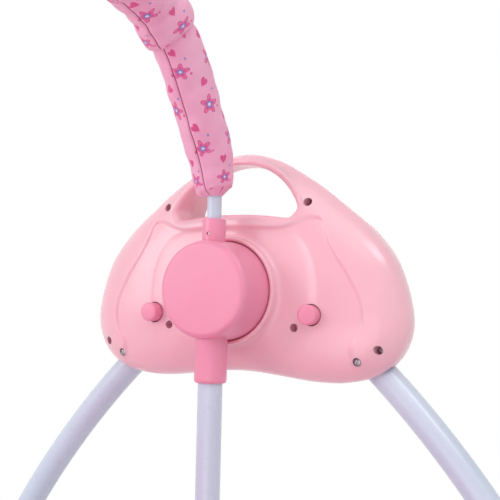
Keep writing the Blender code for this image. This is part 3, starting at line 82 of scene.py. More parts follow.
def writePoints(item, points):
    item.data.vertices.foreach_set("co", np.asarray(points, float).ravel())
    item.data.update()


def editAll(item, *steps):
    # runs edit-mode steps on the whole mesh
    pick(item)
    bpy.ops.object.mode_set(mode="EDIT")
    bpy.ops.mesh.select_all(action="SELECT")
    for step in steps:
        step()
    bpy.ops.object.mode_set(mode="OBJECT")


faceOut = partial(bpy.ops.mesh.normals_make_consistent, inside=False)


def closeUp(item, distance=0.00001):
    editAll(item, partial(bpy.ops.mesh.remove_doubles, threshold=distance),
            partial(bpy.ops.mesh.dissolve_degenerate, threshold=distance / 2), faceOut)
    return item


def wrapGrid(name, columns, rows, pointsOf, uvSize=None):
    # a flat grid wrapped into shape: pointsOf takes the grid's column and row numbers as arrays
    startFresh()
    bpy.ops.mesh.primitive_grid_add(x_subdivisions=columns, y_subdivisions=rows, size=2)
    item = named(name)
    across, up, _ = readPoints(item).T
    column = np.rint((across + 1) / 2 * columns).astype(int)
    row = np.rint((up + 1) / 2 * rows).astype(int)
    writePoints(item, pointsOf(column, row))
    if uvSize is not None:
        uv = item.data.uv_layers.active.data
        values = np.zeros(len(uv) * 2)
        uv.foreach_get("uv", values)
        uv.foreach_set("uv", (values.reshape(-1, 2) * np.array(uvSize)).ravel())
    return closeUp(item)


def ringSkin(name, rings, looped=False):
    # a skin over rings of x, y and z arrays; looped rings don't repeat their first point
    table = np.array(rings)
    count = table.shape[2]
    return wrapGrid(name, count - 1 + looped, len(rings) - 1,
                    lambda column, row: table[row, :, column % count])


def spinProfile(name, profile, steps=64, centre=(0.0, 0.0, 0.0), axis="X"):
    # an outline of (along, radius) points, spun round its axis
    startFresh()
    bpy.ops.mesh.primitive_circle_add(vertices=len(profile), fill_type="NOTHING")
    item = named(name)
    writePoints(item, [(reach, radius, 0.0) for reach, radius in profile])
    editAll(item, lambda: bpy.ops.mesh.spin(steps=steps, angle=fullTurn, center=(0, 0, 0), axis=(1, 0, 0)))
    closeUp(item)
    turn = {"X": Matrix.Identity(4), "Z": Matrix.Rotation(-math.pi / 2, 4, "Y")}[axis]
    item.data.transform(Matrix.Translation(centre) @ turn)
    return item


def rodTool(radius, start, end, spot, steps=32):
    # a rod along X, at a spot in the YZ plane
    profile = [(start, 0.0), (start, radius), (end, radius), (end, 0.0)]
    return spinProfile("rodTool", profile, steps, (0.0, *spot))


def tubeAlong(name, points, radius, closed=False, fineness=12):
    # a round tube along a line of points, turned into a mesh
    startFresh()
    bpy.ops.curve.primitive_nurbs_path_add()
    curve = named(name).data
    curve.splines.clear()
    line = curve.splines.new("POLY")
    line.points.add(len(points) - 1)
    for knot, point in zip(line.points, points):
        knot.co = (*point, 1.0)
    line.use_cyclic_u = closed
    curve.dimensions = "3D"
    curve.bevel_depth = radius
    curve.bevel_resolution = fineness
    curve.use_fill_caps = not closed
    curve.twist_mode = "MINIMUM"
    bpy.ops.object.convert(target="MESH")
    return closeUp(bpy.context.object)


def applied(item, kind, **settings):
    pick(item)
    change = item.modifiers.new("change", kind)
    for key, value in settings.items():
        setattr(change, key, value)
    bpy.ops.object.modifier_apply(modifier=change.name)
    return item


def carve(item, *tools, operation="DIFFERENCE"):
    for tool in tools:
        applied(item, "BOOLEAN", operation=operation, solver="EXACT", object=tool)
        bpy.data.objects.remove(tool)
    return item


def joined(name, items):
    startFresh()
    for item in items:
        item.select_set(True)
    bpy.context.view_layer.objects.active = items[0]
    bpy.ops.object.join()
    return named(name)


def prismOf(name, outline, start, end):
    # a filled outline in the YZ plane, extruded along X
    startFresh()
    bpy.ops.mesh.primitive_circle_add(vertices=len(outline), fill_type="NGON")
    item = named(name)
    writePoints(item, [(start, y, z) for y, z in outline])
    shift = {"value": (end - start, 0, 0)}
    editAll(item, lambda: bpy.ops.mesh.extrude_region_move(TRANSFORM_OT_translate=shift),
            partial(bpy.ops.mesh.select_all, action="SELECT"), faceOut)
    return item


def roundedBox(name, low, high, edge, segments=3):
    startFresh()
    low, high = Vector(low), Vector(high)
    bpy.ops.mesh.primitive_cube_add(size=1, location=(low + high) / 2, scale=high - low)
    item = named(name)
    bpy.ops.object.transform_apply(location=True, rotation=True, scale=True)
    if edge:
        applied(item, "BEVEL", width=edge, segments=segments, limit_method="NONE")
    return item


def quarter(steps, first=0):
    # a quarter turn in even steps: how far each point has come along and across, as shares of the radius
    angles = [0.5 * math.pi * step / steps for step in range(first, steps + 1)]
    return [(1 - math.cos(angle), 1 - math.sin(angle)) for angle in angles]


def values(table, *keys):
    return [table[key] for key in keys]


def moved(item, matrix):
    item.data.transform(matrix)
    return item


def otherSide(item, name):
    # the same piece for the housing across the seat
    double = item.copy()
    double.data = item.data.copy()
    double.name = name
    bpy.context.scene.collection.objects.link(double)
    return moved(double, halfTurn)


def hand(item, body, slotName, nodes=(), smoothAngle=35, material=None):
    # gives a finished piece its finish and the body that it rides on
    pick(item)
    item.data.materials.clear()
    item.data.materials.append(material or finishes[slotName])
    bpy.ops.object.shade_smooth_by_angle(angle=math.radians(smoothAngle))
    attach(item, body)
    if nodes:
        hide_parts(*nodes)


# Finishes
def rgb(*levels):
    parts = [level / 255 for level in levels]
    return (*(part / 12.92 if part <= 0.04045 else ((part + 0.055) / 1.055) ** 2.4 for part in parts), 1.0)


def put(tree, socket, value):
    if isinstance(value, bpy.types.NodeSocket):
        tree.links.new(value, socket)
    else:
        socket.default_value = value


def addNode(tree, kind, inputs, **settings):
    made = tree.nodes.new("ShaderNode" + kind)
    for key, value in settings.items():
        setattr(made, key, value)
    for key, value in dict(inputs).items():
        put(tree, made.inputs[key], value)
    return made


class Recipe:
    # a material being mixed: short calls that add and join its nodes
    def __init__(self, name, **amounts):
        self.material = bpy.data.materials.new(name)
        self.material.use_nodes = True
        self.tree = self.material.node_tree
        self.shader = self.tree.nodes["Principled BSDF"]
        for key, value in amounts.items():
            self.give(key.replace("_", " "), value)
        self.place = self.tree.nodes.new("ShaderNodeTexCoord")

    def give(self, key, value):
        put(self.tree, self.shader.inputs[key], value)

    def node(self, kind, inputs, **settings):
        return addNode(self.tree, kind, inputs, **settings)

    def calc(self, operation, *values):
        return self.node("Math", enumerate(values), operation=operation).outputs[0]

    def mix(self, share, first, second):
        return self.node("Mix", {0: share, 6: first, 7: second}, data_type="RGBA").outputs[2]

    def noise(self, scale, detail):
        where = self.place.outputs["Object"]
        return self.node("TexNoise", {"Scale": scale, "Detail": detail, "Vector": where}).outputs["Fac"]

    def spread(self, *values):
        # value, its low and high end, and what those become: 0 and 1 unless given
        return self.node("MapRange", enumerate(values)).outputs[0]

    def bump(self, height, strength, distance):
        made = self.node("Bump", {"Strength": strength, "Distance": distance, "Height": height})
        self.give("Normal", made.outputs[0])

    def tones(self, light, deep, scale, detail=3.0, edge=0.35):
        # two close colours that drift into each other
        return self.mix(self.spread(self.noise(scale, detail), edge, 1 - edge), light, deep)

    def gloss(self, scale, low, high):
        self.give("Roughness", self.spread(self.noise(scale, 2.0), 0.3, 0.7, low, high))


def mouldedPlastic(name, light, deep, roughness, coat, grain=0.05):
    # moulded plastic: faint flow marks in the colour, fine grain, uneven gloss, a little light passing through
    mixing = Recipe(name, Coat_Weight=coat, Coat_Roughness=0.12, Subsurface_Weight=0.25,
                    Subsurface_Radius=(1.0, 0.35, 0.30), Subsurface_Scale=0.004)
    mixing.give("Base Color", mixing.tones(rgb(*light), rgb(*deep), 14.0))
    mixing.gloss(24.0, roughness - 0.015, roughness + 0.02)
    mixing.bump(mixing.noise(1400.0, 1.0), grain, 0.00003)
    return mixing.material


def tubePaint():
    # powder paint over steel: orange peel and a slight tint drift
    mixing = Recipe("paleTubePaint", Coat_Weight=0.35, Coat_Roughness=0.15)
    mixing.give("Base Color", mixing.tones(rgb(206, 216, 232), rgb(199, 209, 227), 9.0, 2.0))
    mixing.gloss(120.0, 0.26, 0.36)
    mixing.bump(mixing.noise(900.0, 1.0), 0.18, 0.00006)
    return mixing.material


def screwSteel():
    mixing = Recipe("screwSteel", Metallic=1.0)
    mixing.give("Base Color", mixing.tones(rgb(190, 186, 190), rgb(140, 134, 140), 500.0, edge=0.3))
    mixing.gloss(900.0, 0.24, 0.45)
    mixing.bump(mixing.noise(3000.0, 2.0), 0.3, 0.00003)
    return mixing.material


def webbing():
    mixing = Recipe("strapWebbing", Sheen_Weight=0.2)
    mixing.give("Base Color", mixing.tones(rgb(238, 120, 168), rgb(216, 88, 142), 300.0, edge=0.3))
    ribs = mixing.node("TexWave", {"Scale": 420.0, "Vector": mixing.place.outputs["Object"]})
    mixing.bump(ribs.outputs["Fac"], 0.5, 0.0003)
    mixing.gloss(200.0, 0.74, 0.88)
    return mixing.material


def plainFinish(name, light, deep, roughness, metallic=0.0, scale=80.0):
    # small inner and trim pieces
    mixing = Recipe(name, Metallic=metallic)
    mixing.give("Base Color", mixing.tones(rgb(*light), rgb(*deep), scale))
    mixing.gloss(scale * 3, roughness - 0.05, roughness + 0.06)
    mixing.bump(mixing.noise(scale * 20, 1.0), 0.2, 0.00005)
    return mixing.material


printSizes = {"cellWide": 0.0335, "cellHigh": 0.0360, "petal": 0.0062, "petalDip": 0.0021, "outline": 0.0007,
              "petalHeart": 0.60, "iris": 0.0029, "pupil": 0.0014, "heart": 0.0036, "heartDip": 0.052,
              "dot": 0.0011, "weave": 0.00042, "softEdge": 0.00022, "seam": 0.00045}


def printedCloth(name, seamGirth=0.0):
    # cotton-like print: flowers with a bright eye, small hearts and dots on a pale pink ground
    mixing, sizes = Recipe(name, Sheen_Weight=0.25, Sheen_Roughness=0.4), printSizes
    split = mixing.node("SeparateXYZ", {0: mixing.place.outputs["UV"]})
    across, along = split.outputs[0], split.outputs[1]
    calc = mixing.calc
    add, less, times, ratio = (partial(calc, word) for word in ("ADD", "SUBTRACT", "MULTIPLY", "DIVIDE"))

    def far(x, y):
        return calc("SQRT", add(times(x, x), times(y, y)))

    def motif(shiftAcross, shiftAlong, sway=0.0):
        # a motif's own x and y in a brick of cells, every other row moved half a cell
        high = ratio(add(along, shiftAlong), sizes["cellHigh"])
        row = calc("FLOOR", high)
        wide = ratio(add(across, shiftAcross), sizes["cellWide"])
        wide = add(wide, times(calc("FLOORED_MODULO", row, 2.0), 0.5))
        x = times(less(calc("FRACT", wide), 0.5), sizes["cellWide"])
        y = times(less(calc("FRACT", high), 0.5), sizes["cellHigh"])
        lean = times(calc("SINE", add(times(row, 2.3), times(calc("FLOOR", wide), 4.1))), sway)
        cosine, sine = calc("COSINE", lean), calc("SINE", lean)
        return less(times(x, cosine), times(y, sine)), add(times(x, sine), times(y, cosine))

    def painted(cloth, edge, radius, colour, soft=sizes["softEdge"]):
        # the colour laid on the cloth where the radius is under the edge
        return mixing.mix(mixing.spread(less(edge, radius), -soft, soft), cloth, rgb(*colour))

    cloth = mixing.tones(rgb(252, 188, 216), rgb(248, 174, 206), 30.0)
    x, y = motif(0.006, 0.004, 0.6)
    wave = calc("COSINE", times(calc("ARCTAN2", y, x), 5.0))
    petal = add(times(wave, sizes["petalDip"]), sizes["petal"])
    rim, outer = (add(petal, sizes["outline"] * count) for count in (1, 2))
    for edge, colour in ((outer, (250, 205, 228)), (rim, (214, 84, 148)), (petal, (240, 118, 170)),
                         (times(petal, sizes["petalHeart"]), (226, 88, 150)), (sizes["iris"], (140, 138, 208)),
                         (sizes["pupil"], (236, 228, 246))):
        cloth = painted(cloth, edge, far(x, y), colour)
    x, y = motif(0.0225, 0.0215, 0.9)
    dip = times(calc("SQRT", add(calc("ABSOLUTE", x), 0.00001)), -sizes["heartDip"])
    cloth = painted(cloth, sizes["heart"], far(x, add(y, dip)), (232, 92, 152))
    for shift, colour in (((0.0145, 0.0085), (228, 104, 160)), ((0.0305, 0.0290), (150, 148, 212))):
        cloth = painted(cloth, sizes["dot"], far(*motif(*shift)), colour)
    if seamGirth:
        # a stitched seam where the two long edges of the sleeve meet
        wrapped = calc("FLOORED_MODULO", add(across, seamGirth / 2), seamGirth)
        away = calc("ABSOLUTE", less(wrapped, seamGirth / 2))
        cloth = painted(cloth, sizes["seam"], away, (150, 40, 92), 0.0003)
    mixing.give("Base Color", cloth)
    threads = times(*(calc("SINE", times(socket, fullTurn / sizes["weave"])) for socket in (across, along)))
    mixing.bump(add(threads, times(mixing.noise(260.0, 3.0), 1.5)), 0.35, 0.00012)
    mixing.gloss(90.0, 0.80, 0.92)
    return mixing.material


finishes = {
    "pale_pink_shell": mouldedPlastic("palePinkShell", (248, 191, 204), (247, 189, 202), 0.25, 0.30),
    "hub_pink": mouldedPlastic("hubPink", (240, 152, 182), (238, 147, 178), 0.34, 0.12),
    "tube_paint": tubePaint(),
    "pink_fabric": printedCloth("pinkPrint"),
    "strap_webbing": webbing(),
    "steel": screwSteel(),
    "motor_steel": plainFinish("motorSteel", (200, 200, 204), (170, 170, 176), 0.36, 1.0, 200.0),
    "nylon": plainFinish("nylon", (242, 240, 232), (232, 230, 220), 0.45),
    "circuit_green": plainFinish("circuitGreen", (40, 122, 74), (30, 104, 62), 0.5),
    "speaker_black": plainFinish("speakerBlack", (44, 44, 48), (30, 30, 34), 0.6),
    "cell_grey": plainFinish("cellGrey", (150, 154, 160), (120, 124, 132), 0.35, 0.6),
    "foot_rubber": mouldedPlastic("footRubber", (236, 150, 182), (230, 140, 174), 0.55, 0.0, 0.5),
}
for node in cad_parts.values():
    for entry in node.material_slots:
        entry.material = finishes[entry.material.name.split(".")[0]]
print("finishes ready:", len(finishes))

# Camera: at the photograph's height and angle, turned about its own axes
view = {"place": (-0.5091, -0.4421, 0.5463), "yaw": 28.62, "pitch": 3.94, "roll": 1.28, "lens": 71.09}


def aimCamera():
    yaw, pitch, roll = (math.radians(view[key]) for key in ("yaw", "pitch", "roll"))
    ahead = Vector((math.cos(yaw) * math.cos(pitch), math.sin(yaw) * math.cos(pitch), math.sin(pitch)))
    level = Vector((math.sin(yaw), -math.cos(yaw), 0.0))
    upward = level.cross(ahead)
    right = level * math.cos(roll) + upward * math.sin(roll)
    top = upward * math.cos(roll) - level * math.sin(roll)
    startFresh()
    bpy.ops.object.camera_add()
    camera = bpy.context.object
    axes = Matrix((right, top, -ahead)).transposed().to_4x4()
    camera.matrix_world = Matrix.Translation(view["place"]) @ axes
    camera.data.lens = view["lens"]
    camera.data.sensor_width = 36.0
    camera.data.clip_start = 0.01
    bpy.context.scene.camera = camera


aimCamera()

# Housing shells
shell = {
    "faceDepth": 0.008, "partingDepth": 0.040, "backDepth": 0.085, "domePower": 2.8, "edgeWidth": 0.00384,
    "edgeGap": 0.00015, "columns": 360, "domeRows": 96, "rowCrowding": 1.7, "innerRows": 10, "innerPower": 0.7,
    "seatProfile": [(0.0100, 0.0100), (0.0300, 0.0100), (0.0420, 0.0100), (0.0430, 0.0064),
                    (0.0444, 0.0061), (0.0448, 0.0056), (0.0448, 0.0016), (0.0452, 0.0007), (0.0460, 0.0002),
                    (0.0467, 0.0), (0.0475, 0.0002), (0.0481, 0.0008), (0.0485, 0.0018), (0.0487, 0.0040)],
    "filletRings": [(0.0489, 0.0034), (0.0493, 0.0020), (0.0501, 0.0009), (0.0514, 0.0003), (0.0532, 0.0)],
    "raise": 0.0028, "edgeFade": 0.14, "panelDrop": 0.0019, "panelSlope": 0.0030, "basinDrop": 0.0018,
    "basinSlope": 0.007, "gripWaist": 0.017, "gripStart": 0.085, "gripRun": 0.032, "frontRoll": 0.0072,
    "backRoll": 0.0115, "lipWall": 0.0018, "frontInset": 0.0046, "backInset": 0.0024,
}
outlineHalf = [(0.0, 0.130), (0.0339, 0.1225), (0.0667, 0.1041), (0.0980, 0.0801), (0.1274, 0.0540),
               (0.1490, 0.0240), (0.1612, -0.020), (0.1555, -0.0483), (0.1378, -0.0678), (0.1129, -0.0769),
               (0.0774, -0.079), (0.0, -0.072)]
panelHalf = [(0.0, 0.0586), (0.024, 0.0586), (0.043, 0.0582), (0.055, 0.0592), (0.064, 0.0622),
             (0.072, 0.0660), (0.079, 0.0670), (0.0852, 0.0662), (0.0888, 0.0630), (0.0905, 0.0590),
             (0.0925, 0.0520), (0.098, 0.0405), (0.1055, 0.0290), (0.1125, 0.0190), (0.1190, 0.0080),
             (0.1242, -0.0020), (0.1276, -0.0120),
             (0.1283, -0.0200), (0.1275, -0.0290), (0.1245, -0.0370), (0.1200, -0.0440), (0.1180, -0.0490),
             (0.1182, -0.0560), (0.1180, -0.0900), (0.0, -0.0900)]
basinHalf = [(0.0, 0.0600), (0.028, 0.0596), (0.050, 0.0560), (0.064, 0.0510), (0.0735, 0.0420),
             (0.0800, 0.0300), (0.0845, 0.0140), (0.0858, -0.0070), (0.0835, -0.0290), (0.0760, -0.0470),
             (0.0670, -0.0600), (0.0560, -0.0780), (0.0540, -0.0900), (0.0, -0.0900)]
handle = {"arcRadius": 0.0672, "arcMiddle": 0.0498, "floorMiddle": 0.0702, "floorEnd": 0.0666,
          "floorReach": 0.053, "cornerRun": 0.0060, "cornerRise": 0.0035, "arcStart": 0.010}


def smoothLoop(points, count):
    # closed Catmull-Rom curve through the points, read at even steps
    points = np.array(points, float)
    total = len(points)
    fine = []
    for i in range(total):
        p0, p1, p2, p3 = (points[(i + k) % total] for k in (-1, 0, 1, 2))
        for t in np.arange(24) / 24:
            fine.append((2 * p1 + (p2 - p0) * t + (2 * p0 - 5 * p1 + 4 * p2 - p3) * t * t
                         + (3 * p1 - p0 - 3 * p2 + p3) * t ** 3) / 2)
    fine = np.array(fine + [fine[0]])
    reach = np.concatenate([[0], np.cumsum(np.hypot(*np.diff(fine, axis=0).T))])
    goals = reach[-1] * np.arange(count) / count
    return np.stack([np.interp(goals, reach, fine[:, k]) for k in (0, 1)], 1)


def bothHalves(half):
    # the half on +y, closed with its mirror image, counterclockwise
    return (half + [(-y, z) for y, z in half[1:-1]][::-1])[::-1]


def grownLoop(loop, distance):
    ahead = np.roll(loop, -1, 0) - np.roll(loop, 1, 0)
    ahead /= np.hypot(*ahead.T)[:, None]
    return loop + distance * np.stack([ahead[:, 1], -ahead[:, 0]], 1)


def handleLoop():
    centre, radius, end, reach = values(handle, "arcMiddle", "arcRadius", "floorEnd", "floorReach")
    run, rise = values(handle, "cornerRun", "cornerRise")
    start = math.asin((end + handle["arcStart"] - centre) / radius)
    points = []
    for i in range(10):
        angle = start + (math.pi - 2 * start) * i / 9
        points.append((radius * math.cos(angle), centre + radius * math.sin(angle)))
    points.append((-reach - run, end + rise))
    for i in range(5):
        y = -reach + reach * i / 2
        points.append((y, end + (handle["floorMiddle"] - end) * (1 - (y / reach) ** 2)))
    points.append((reach + run, end + rise))
    return smoothLoop(points, 180)


outline = smoothLoop(bothHalves(outlineHalf), 720)
outlineBearing, outlineReach = np.arctan2(outline[:, 1], outline[:, 0]), np.hypot(*outline.T)
panelLoop = smoothLoop(bothHalves(panelHalf), 260)
basinLoop = smoothLoop(bothHalves(basinHalf), 160)
handleLine = handleLoop()


def reachAt(bearing):
    return np.interp(bearing, outlineBearing, outlineReach, period=fullTurn)


def insideDistance(y, z, loop):
    # distance from a closed line, positive inside it
    best = np.full(np.shape(y), 1.0)
    crossings = np.zeros(np.shape(y), int)
    for (ay, az), (by, bz) in zip(loop, np.roll(loop, -1, 0)):
        dy, dz = by - ay, bz - az
        share = np.clip(((y - ay) * dy + (z - az) * dz) / (dy * dy + dz * dz + 1e-12), 0, 1)
        best = np.minimum(best, np.hypot(y - ay - share * dy, z - az - share * dz))
        if az != bz:
            level = (az > z) != (bz > z)
            crossings += level & (y < ay + (z - az) * dy / dz)
    return np.where(crossings % 2 == 1, best, -best)


def eased(value):
    value = np.clip(value, 0, 1)
    return value * value * (3 - 2 * value)


def dome(share):
    return (1 - share ** shell["domePower"]) ** (1 / shell["domePower"])


def outlineShare(y, z):
    return np.clip(np.hypot(y, z) / reachAt(np.arctan2(z, y)), 0, 1)


def faceDepth(y, z):
    # depth of the moulded inner face: dome, raised cheeks, panel step and hub basin
    share = outlineShare(y, z)
    depth = shell["partingDepth"] + (shell["faceDepth"] - shell["partingDepth"]) * dome(share)
    panel = eased(insideDistance(y, z, panelLoop) / shell["panelSlope"])
    basin = 1 - np.exp(-insideDistance(y, z, basinLoop).clip(0, None) / shell["basinSlope"])
    relief = shell["panelDrop"] * panel - shell["raise"] + shell["basinDrop"] * basin
    return depth + eased((1 - share) / shell["edgeFade"]) * relief


def backDepth(y, z):
    # depth of the plain outer face, flatter along the grip
    waist = shell["gripWaist"] * eased((z - shell["gripStart"]) / shell["gripRun"])
    bulge = shell["backDepth"] - shell["partingDepth"] - waist
    return shell["partingDepth"] + bulge * dome(outlineShare(y, z))


def shellSkin(name, depthOf, face, centreRings, inset):
    # rings from the hub out to the parting line, round its edge and back along the inside
    bearings = fullTurn * np.arange(shell["columns"] + 1) / shell["columns"]
    cosine, sine, reach = np.cos(bearings), np.sin(bearings), reachAt(bearings)
    bulge = face - shell["partingDepth"]
    way = math.copysign(1, bulge)

    def flat(radius, depth):
        return np.full_like(reach, depth), radius * cosine, radius * sine

    def draped(radius, lift=0.0):
        y, z = radius * cosine, radius * sine
        return depthOf(y, z) - lift, y, z

    fillet = shell["filletRings"] if bulge < 0 else []
    rings = [flat(*row) for row in centreRings] + [draped(*row) for row in fillet]
    first = (fillet or centreRings)[-1][0]
    for step in range(1, shell["domeRows"]):
        share = 1 - (1 - step / shell["domeRows"]) ** shell["rowCrowding"]
        rings.append(draped(first + (reach - first) * share))
    edge = shell["partingDepth"] + way * shell["edgeGap"]
    inner = reach - shell["edgeWidth"]
    rings += [flat(reach, edge), flat(inner, edge)]
    for step in range(1, shell["innerRows"] + 1):
        share = math.cos(0.5 * math.pi * step / shell["innerRows"]) ** shell["innerPower"]
        depth = shell["partingDepth"] + (bulge - way * inset) * dome(share)
        rings.append(flat(np.maximum(inner * share, centreRings[0][0]), depth))
    if centreRings[0][0]:
        rings.append(rings[0])
    return ringSkin(name, rings)


def skinRing(loop, distance, depthOf, lift):
    y, z = grownLoop(loop, distance).T
    return depthOf(y, z) + lift, y, z


def flatRing(loop, distance, depth):
    return np.full(len(loop), depth), *grownLoop(loop, distance).T


def rolledEdge(loop, depthOf, way, roll, sinks, steps):
    # rings from just under the skin, over the rolled edge of an opening and down to its wall
    rows = [(roll + 0.0006, sinks[0]), (roll + 0.0003, sinks[1])]
    rows += [(roll * across, roll * along) for along, across in quarter(steps)]
    return [skinRing(loop, distance, depthOf, way * sink) for distance, sink in rows]


def lipRing(depthOf, way, roll):
    # the rolled edge of the handle opening and its tunnel wall
    wall, edge = shell["lipWall"], shell["partingDepth"] - way * shell["edgeGap"]
    rings = rolledEdge(handleLine, depthOf, way, roll, (0.0013, 0.0003), 12)
    rings += [flatRing(handleLine, 0.0, edge), flatRing(handleLine, wall, edge)]
    for distance, lift in ((wall, roll + 0.0012), (roll, 0.0030)):
        rings.append(skinRing(handleLine, distance, depthOf, way * lift))
    return ringSkin("lip", rings + rings[:1], True)


# each kind of hole: where its pair stands, radius, sides and the depth of the tube behind it
wells = {"high": ((0.073, 0.079), 0.0038, 32, 0.030), "low": ((0.0646, -0.0314), 0.0038, 32, 0.022),
         "corner": ((0.1392, -0.0484), 0.0038, 32, 0.0298), "bolt": ((0.1212, -0.0591), 0.0038, 32, 0.0196),
         "button": ((0.0810, -0.0200), 0.0096, 48, 0.025)}
pipe = {"wall": 0.002, "cap": 0.001, "sink": 0.0012, "sides": 32, "inset": 0.0001}
legs = {"radius": 0.0127, "lean": math.radians(45.8), "fold": math.radians(36), "slotReach": 0.060,
        "slotHalf": 0.0131, "slotSide": 0.0135, "straight": 0.022, "curve": 0.860, "topReach": 0.066,
        "endHeight": 0.024}


def wellPipe(spot, radius, floor, closed):
    # the moulded tube behind a hole, its mouth following the skin
    angles = fullTurn * np.arange(pipe["sides"] + 1) / pipe["sides"]

    def ring(size, depth=None):
        y, z = spot[0] + size * np.cos(angles), spot[1] + size * np.sin(angles)
        return faceDepth(y, z) + pipe["sink"] if depth is None else np.full_like(y, depth), y, z

    outer, back = radius + pipe["wall"], floor + pipe["cap"] * closed
    rings = [ring(outer), ring(radius), ring(radius, floor)]
    rings += [ring(0.0, floor), ring(0.0, back)] if closed else []
    return ringSkin("well", rings + [ring(outer, back), ring(outer)])


def downward(lean, end):
    return Vector((end * math.sin(lean), -math.cos(lean)))


def foldSlot(end):
    # room that a leg needs to fold, open at the lower edge of both shells
    pivot = Vector((end * wells["bolt"][0][0], wells["bolt"][0][1]))
    down, folded = downward(legs["lean"], end), downward(legs["lean"] - legs["fold"], end)
    outer, inner = Vector((-end * down.y, end * down.x)), Vector((end * folded.y, -end * folded.x))
    half, reach, middle = legs["slotHalf"], legs["slotReach"], place["legDepth"]
    corners = [pivot + outer * half, pivot + outer * half + down * reach,
               pivot + inner * half + folded * reach, pivot + inner * half]
    return prismOf("foldSlot", corners, middle - legs["slotSide"], middle + legs["slotSide"])


def buildInnerShell():
    face, seat, inset = values(shell, "faceDepth", "seatProfile", "frontInset")
    skin = shellSkin("rightInnerShell", faceDepth, face, seat, inset)
    carve(skin, prismOf("opening", grownLoop(handleLine, shell["frontRoll"]), -0.02, 0.06))
    parts = [skin, lipRing(faceDepth, 1, shell["frontRoll"])]
    for key, ((y, z), radius, sides, floor) in wells.items():
        for spot in ((y, z), (-y, z)):
            carve(skin, rodTool(radius, -0.02, 0.05, spot, sides))
            parts.append(wellPipe(spot, radius - pipe["inset"], floor, key != "button"))
    carve(skin, foldSlot(-1), foldSlot(1))
    return moved(joined("rightInnerShell", parts), rightHousing)


rightInner = buildInnerShell()
hand(otherSide(rightInner, "leftInnerShell"), "housings", "pale_pink_shell", ["left_inner_shell"])
hand(rightInner, "housings", "pale_pink_shell", ["right_inner_shell"])
print("inner shells ready:", len(rightInner.data.polygons))

# Outer shells, with the controls and the battery door on the drive side
controls = {"dishMiddle": 0.021, "dishReach": 0.033, "dishHalf": 0.019, "dishFloor": 0.075, "dishRoll": 0.0022,
            "dishWall": 0.0020, "shaftHole": 0.0034, "knob": 0.008, "music": 0.040, "speaker": -0.038,
            "speakerHole": 0.0022, "speakerRing": 0.009, "door": [(-0.0521, 0.02785), (0.0521, 0.06105)],
            "doorSeat": 0.0744, "boxFloor": 0.057, "boxInside": [(-0.0506, 0.0293), (0.0506, 0.0596)],
            "boxTop": 0.059}


def roundedLoop(low, high, corner, steps=8, shrink=0.0):
    # a counterclockwise rounded rectangle in the YZ plane
    low, high = np.array(low) + shrink, np.array(high) - shrink
    middles = [(high[0] - corner, high[1] - corner, 0), (low[0] + corner, high[1] - corner, 90),
               (low[0] + corner, low[1] + corner, 180), (high[0] - corner, low[1] + corner, 270)]
    points = []
    for y, z, start in middles:
        for i in range(steps + 1):
            angle = math.radians(start + 90 * i / steps)
            points.append((y + corner * math.cos(angle), z + corner * math.sin(angle)))
    return np.array(points)


def pocket(loop, floor, roll, wall, fillet=0.002):
    # a dish let into the outer face, its edge rolled over and its floor met by a small fillet
    rings = rolledEdge(loop, backDepth, -1, roll, (0.0011, 0.0002), 6)
    rings += [flatRing(loop, -fillet * along, floor + fillet * across) for along, across in quarter(5, 1)]
    centre = loop.mean(0)
    for share, depth in ((0.6, floor), (0.0, floor), (0.0, floor - wall)):
        rings.append((np.full(len(loop), depth), *(centre + (loop - centre) * share).T))
    rings.append(flatRing(loop, wall * 0.8, floor - wall))
    return ringSkin("dish", rings + rings[:1], True)


def plainBack(name):
    face = shell["backDepth"]
    return shellSkin(name, backDepth, face, [(0.0, face)], shell["backInset"])


def buildOuterShell(name, driven):
    skin = plainBack(name)
    opening = prismOf("opening", grownLoop(handleLine, shell["backRoll"]), 0.03, 0.12)
    carve(skin, opening, foldSlot(-1), foldSlot(1))
    parts = [skin, lipRing(backDepth, -1, shell["backRoll"])]
    if driven:
        reach, half, roll, middle = values(controls, "dishReach", "dishHalf", "dishRoll", "dishMiddle")
        door = controls["door"]
        dish = roundedLoop((middle - reach, -half), (middle + reach, half), half - 0.001, 14)
        carve(skin, prismOf("dish", grownLoop(dish, roll), 0.06, 0.12),
              prismOf("door", roundedLoop(*door, 0.002), 0.06, 0.12))
        for i in range(7):
            ring, angle = controls["speakerRing"] if i else 0.0, i * math.pi / 3
            spot = (controls["speaker"] + ring * math.cos(angle), ring * math.sin(angle))
            carve(skin, rodTool(controls["speakerHole"], 0.06, 0.12, spot, 24))
        plate = pocket(dish, controls["dishFloor"], roll, controls["dishWall"])
        for spot in values(controls, "knob", "music"):
            carve(plate, rodTool(controls["shaftHole"], 0.06, 0.09, (spot, 0.0)))
        rim = roundedLoop(*door, 0.002, shrink=0.0005)
        box = prismOf("box", rim, controls["boxFloor"], controls["doorSeat"])
        carve(box, prismOf("inside", roundedLoop(*controls["boxInside"], 0.001), controls["boxTop"], 0.09))
        parts += [plate, box]
    return moved(joined(name, parts), rightHousing)


rightOuter = buildOuterShell("rightOuterShell", True)
leftOuter = moved(buildOuterShell("leftOuterShell", False), halfTurn)
hand(rightOuter, "housings", "pale_pink_shell", ["right_outer_shell"])
hand(leftOuter, "housings", "pale_pink_shell", ["left_outer_shell"])


def scallopedDisc(name, profile, spot, ribs, depth, columns=144):
    # a turned knob whose rim is fluted for the fingers
    angles = fullTurn * np.arange(columns + 1) / columns
    widest = max(radius for reach, radius in profile)
    rings = []
    for reach, radius in profile:
        size = radius - depth * (0.5 - 0.5 * np.cos(ribs * angles)) * (radius > 0.8 * widest)
        y, z = spot[0] + size * np.cos(angles), spot[1] + size * np.sin(angles)
        rings.append((np.full_like(angles, reach), y, z))
    return ringSkin(name, rings)


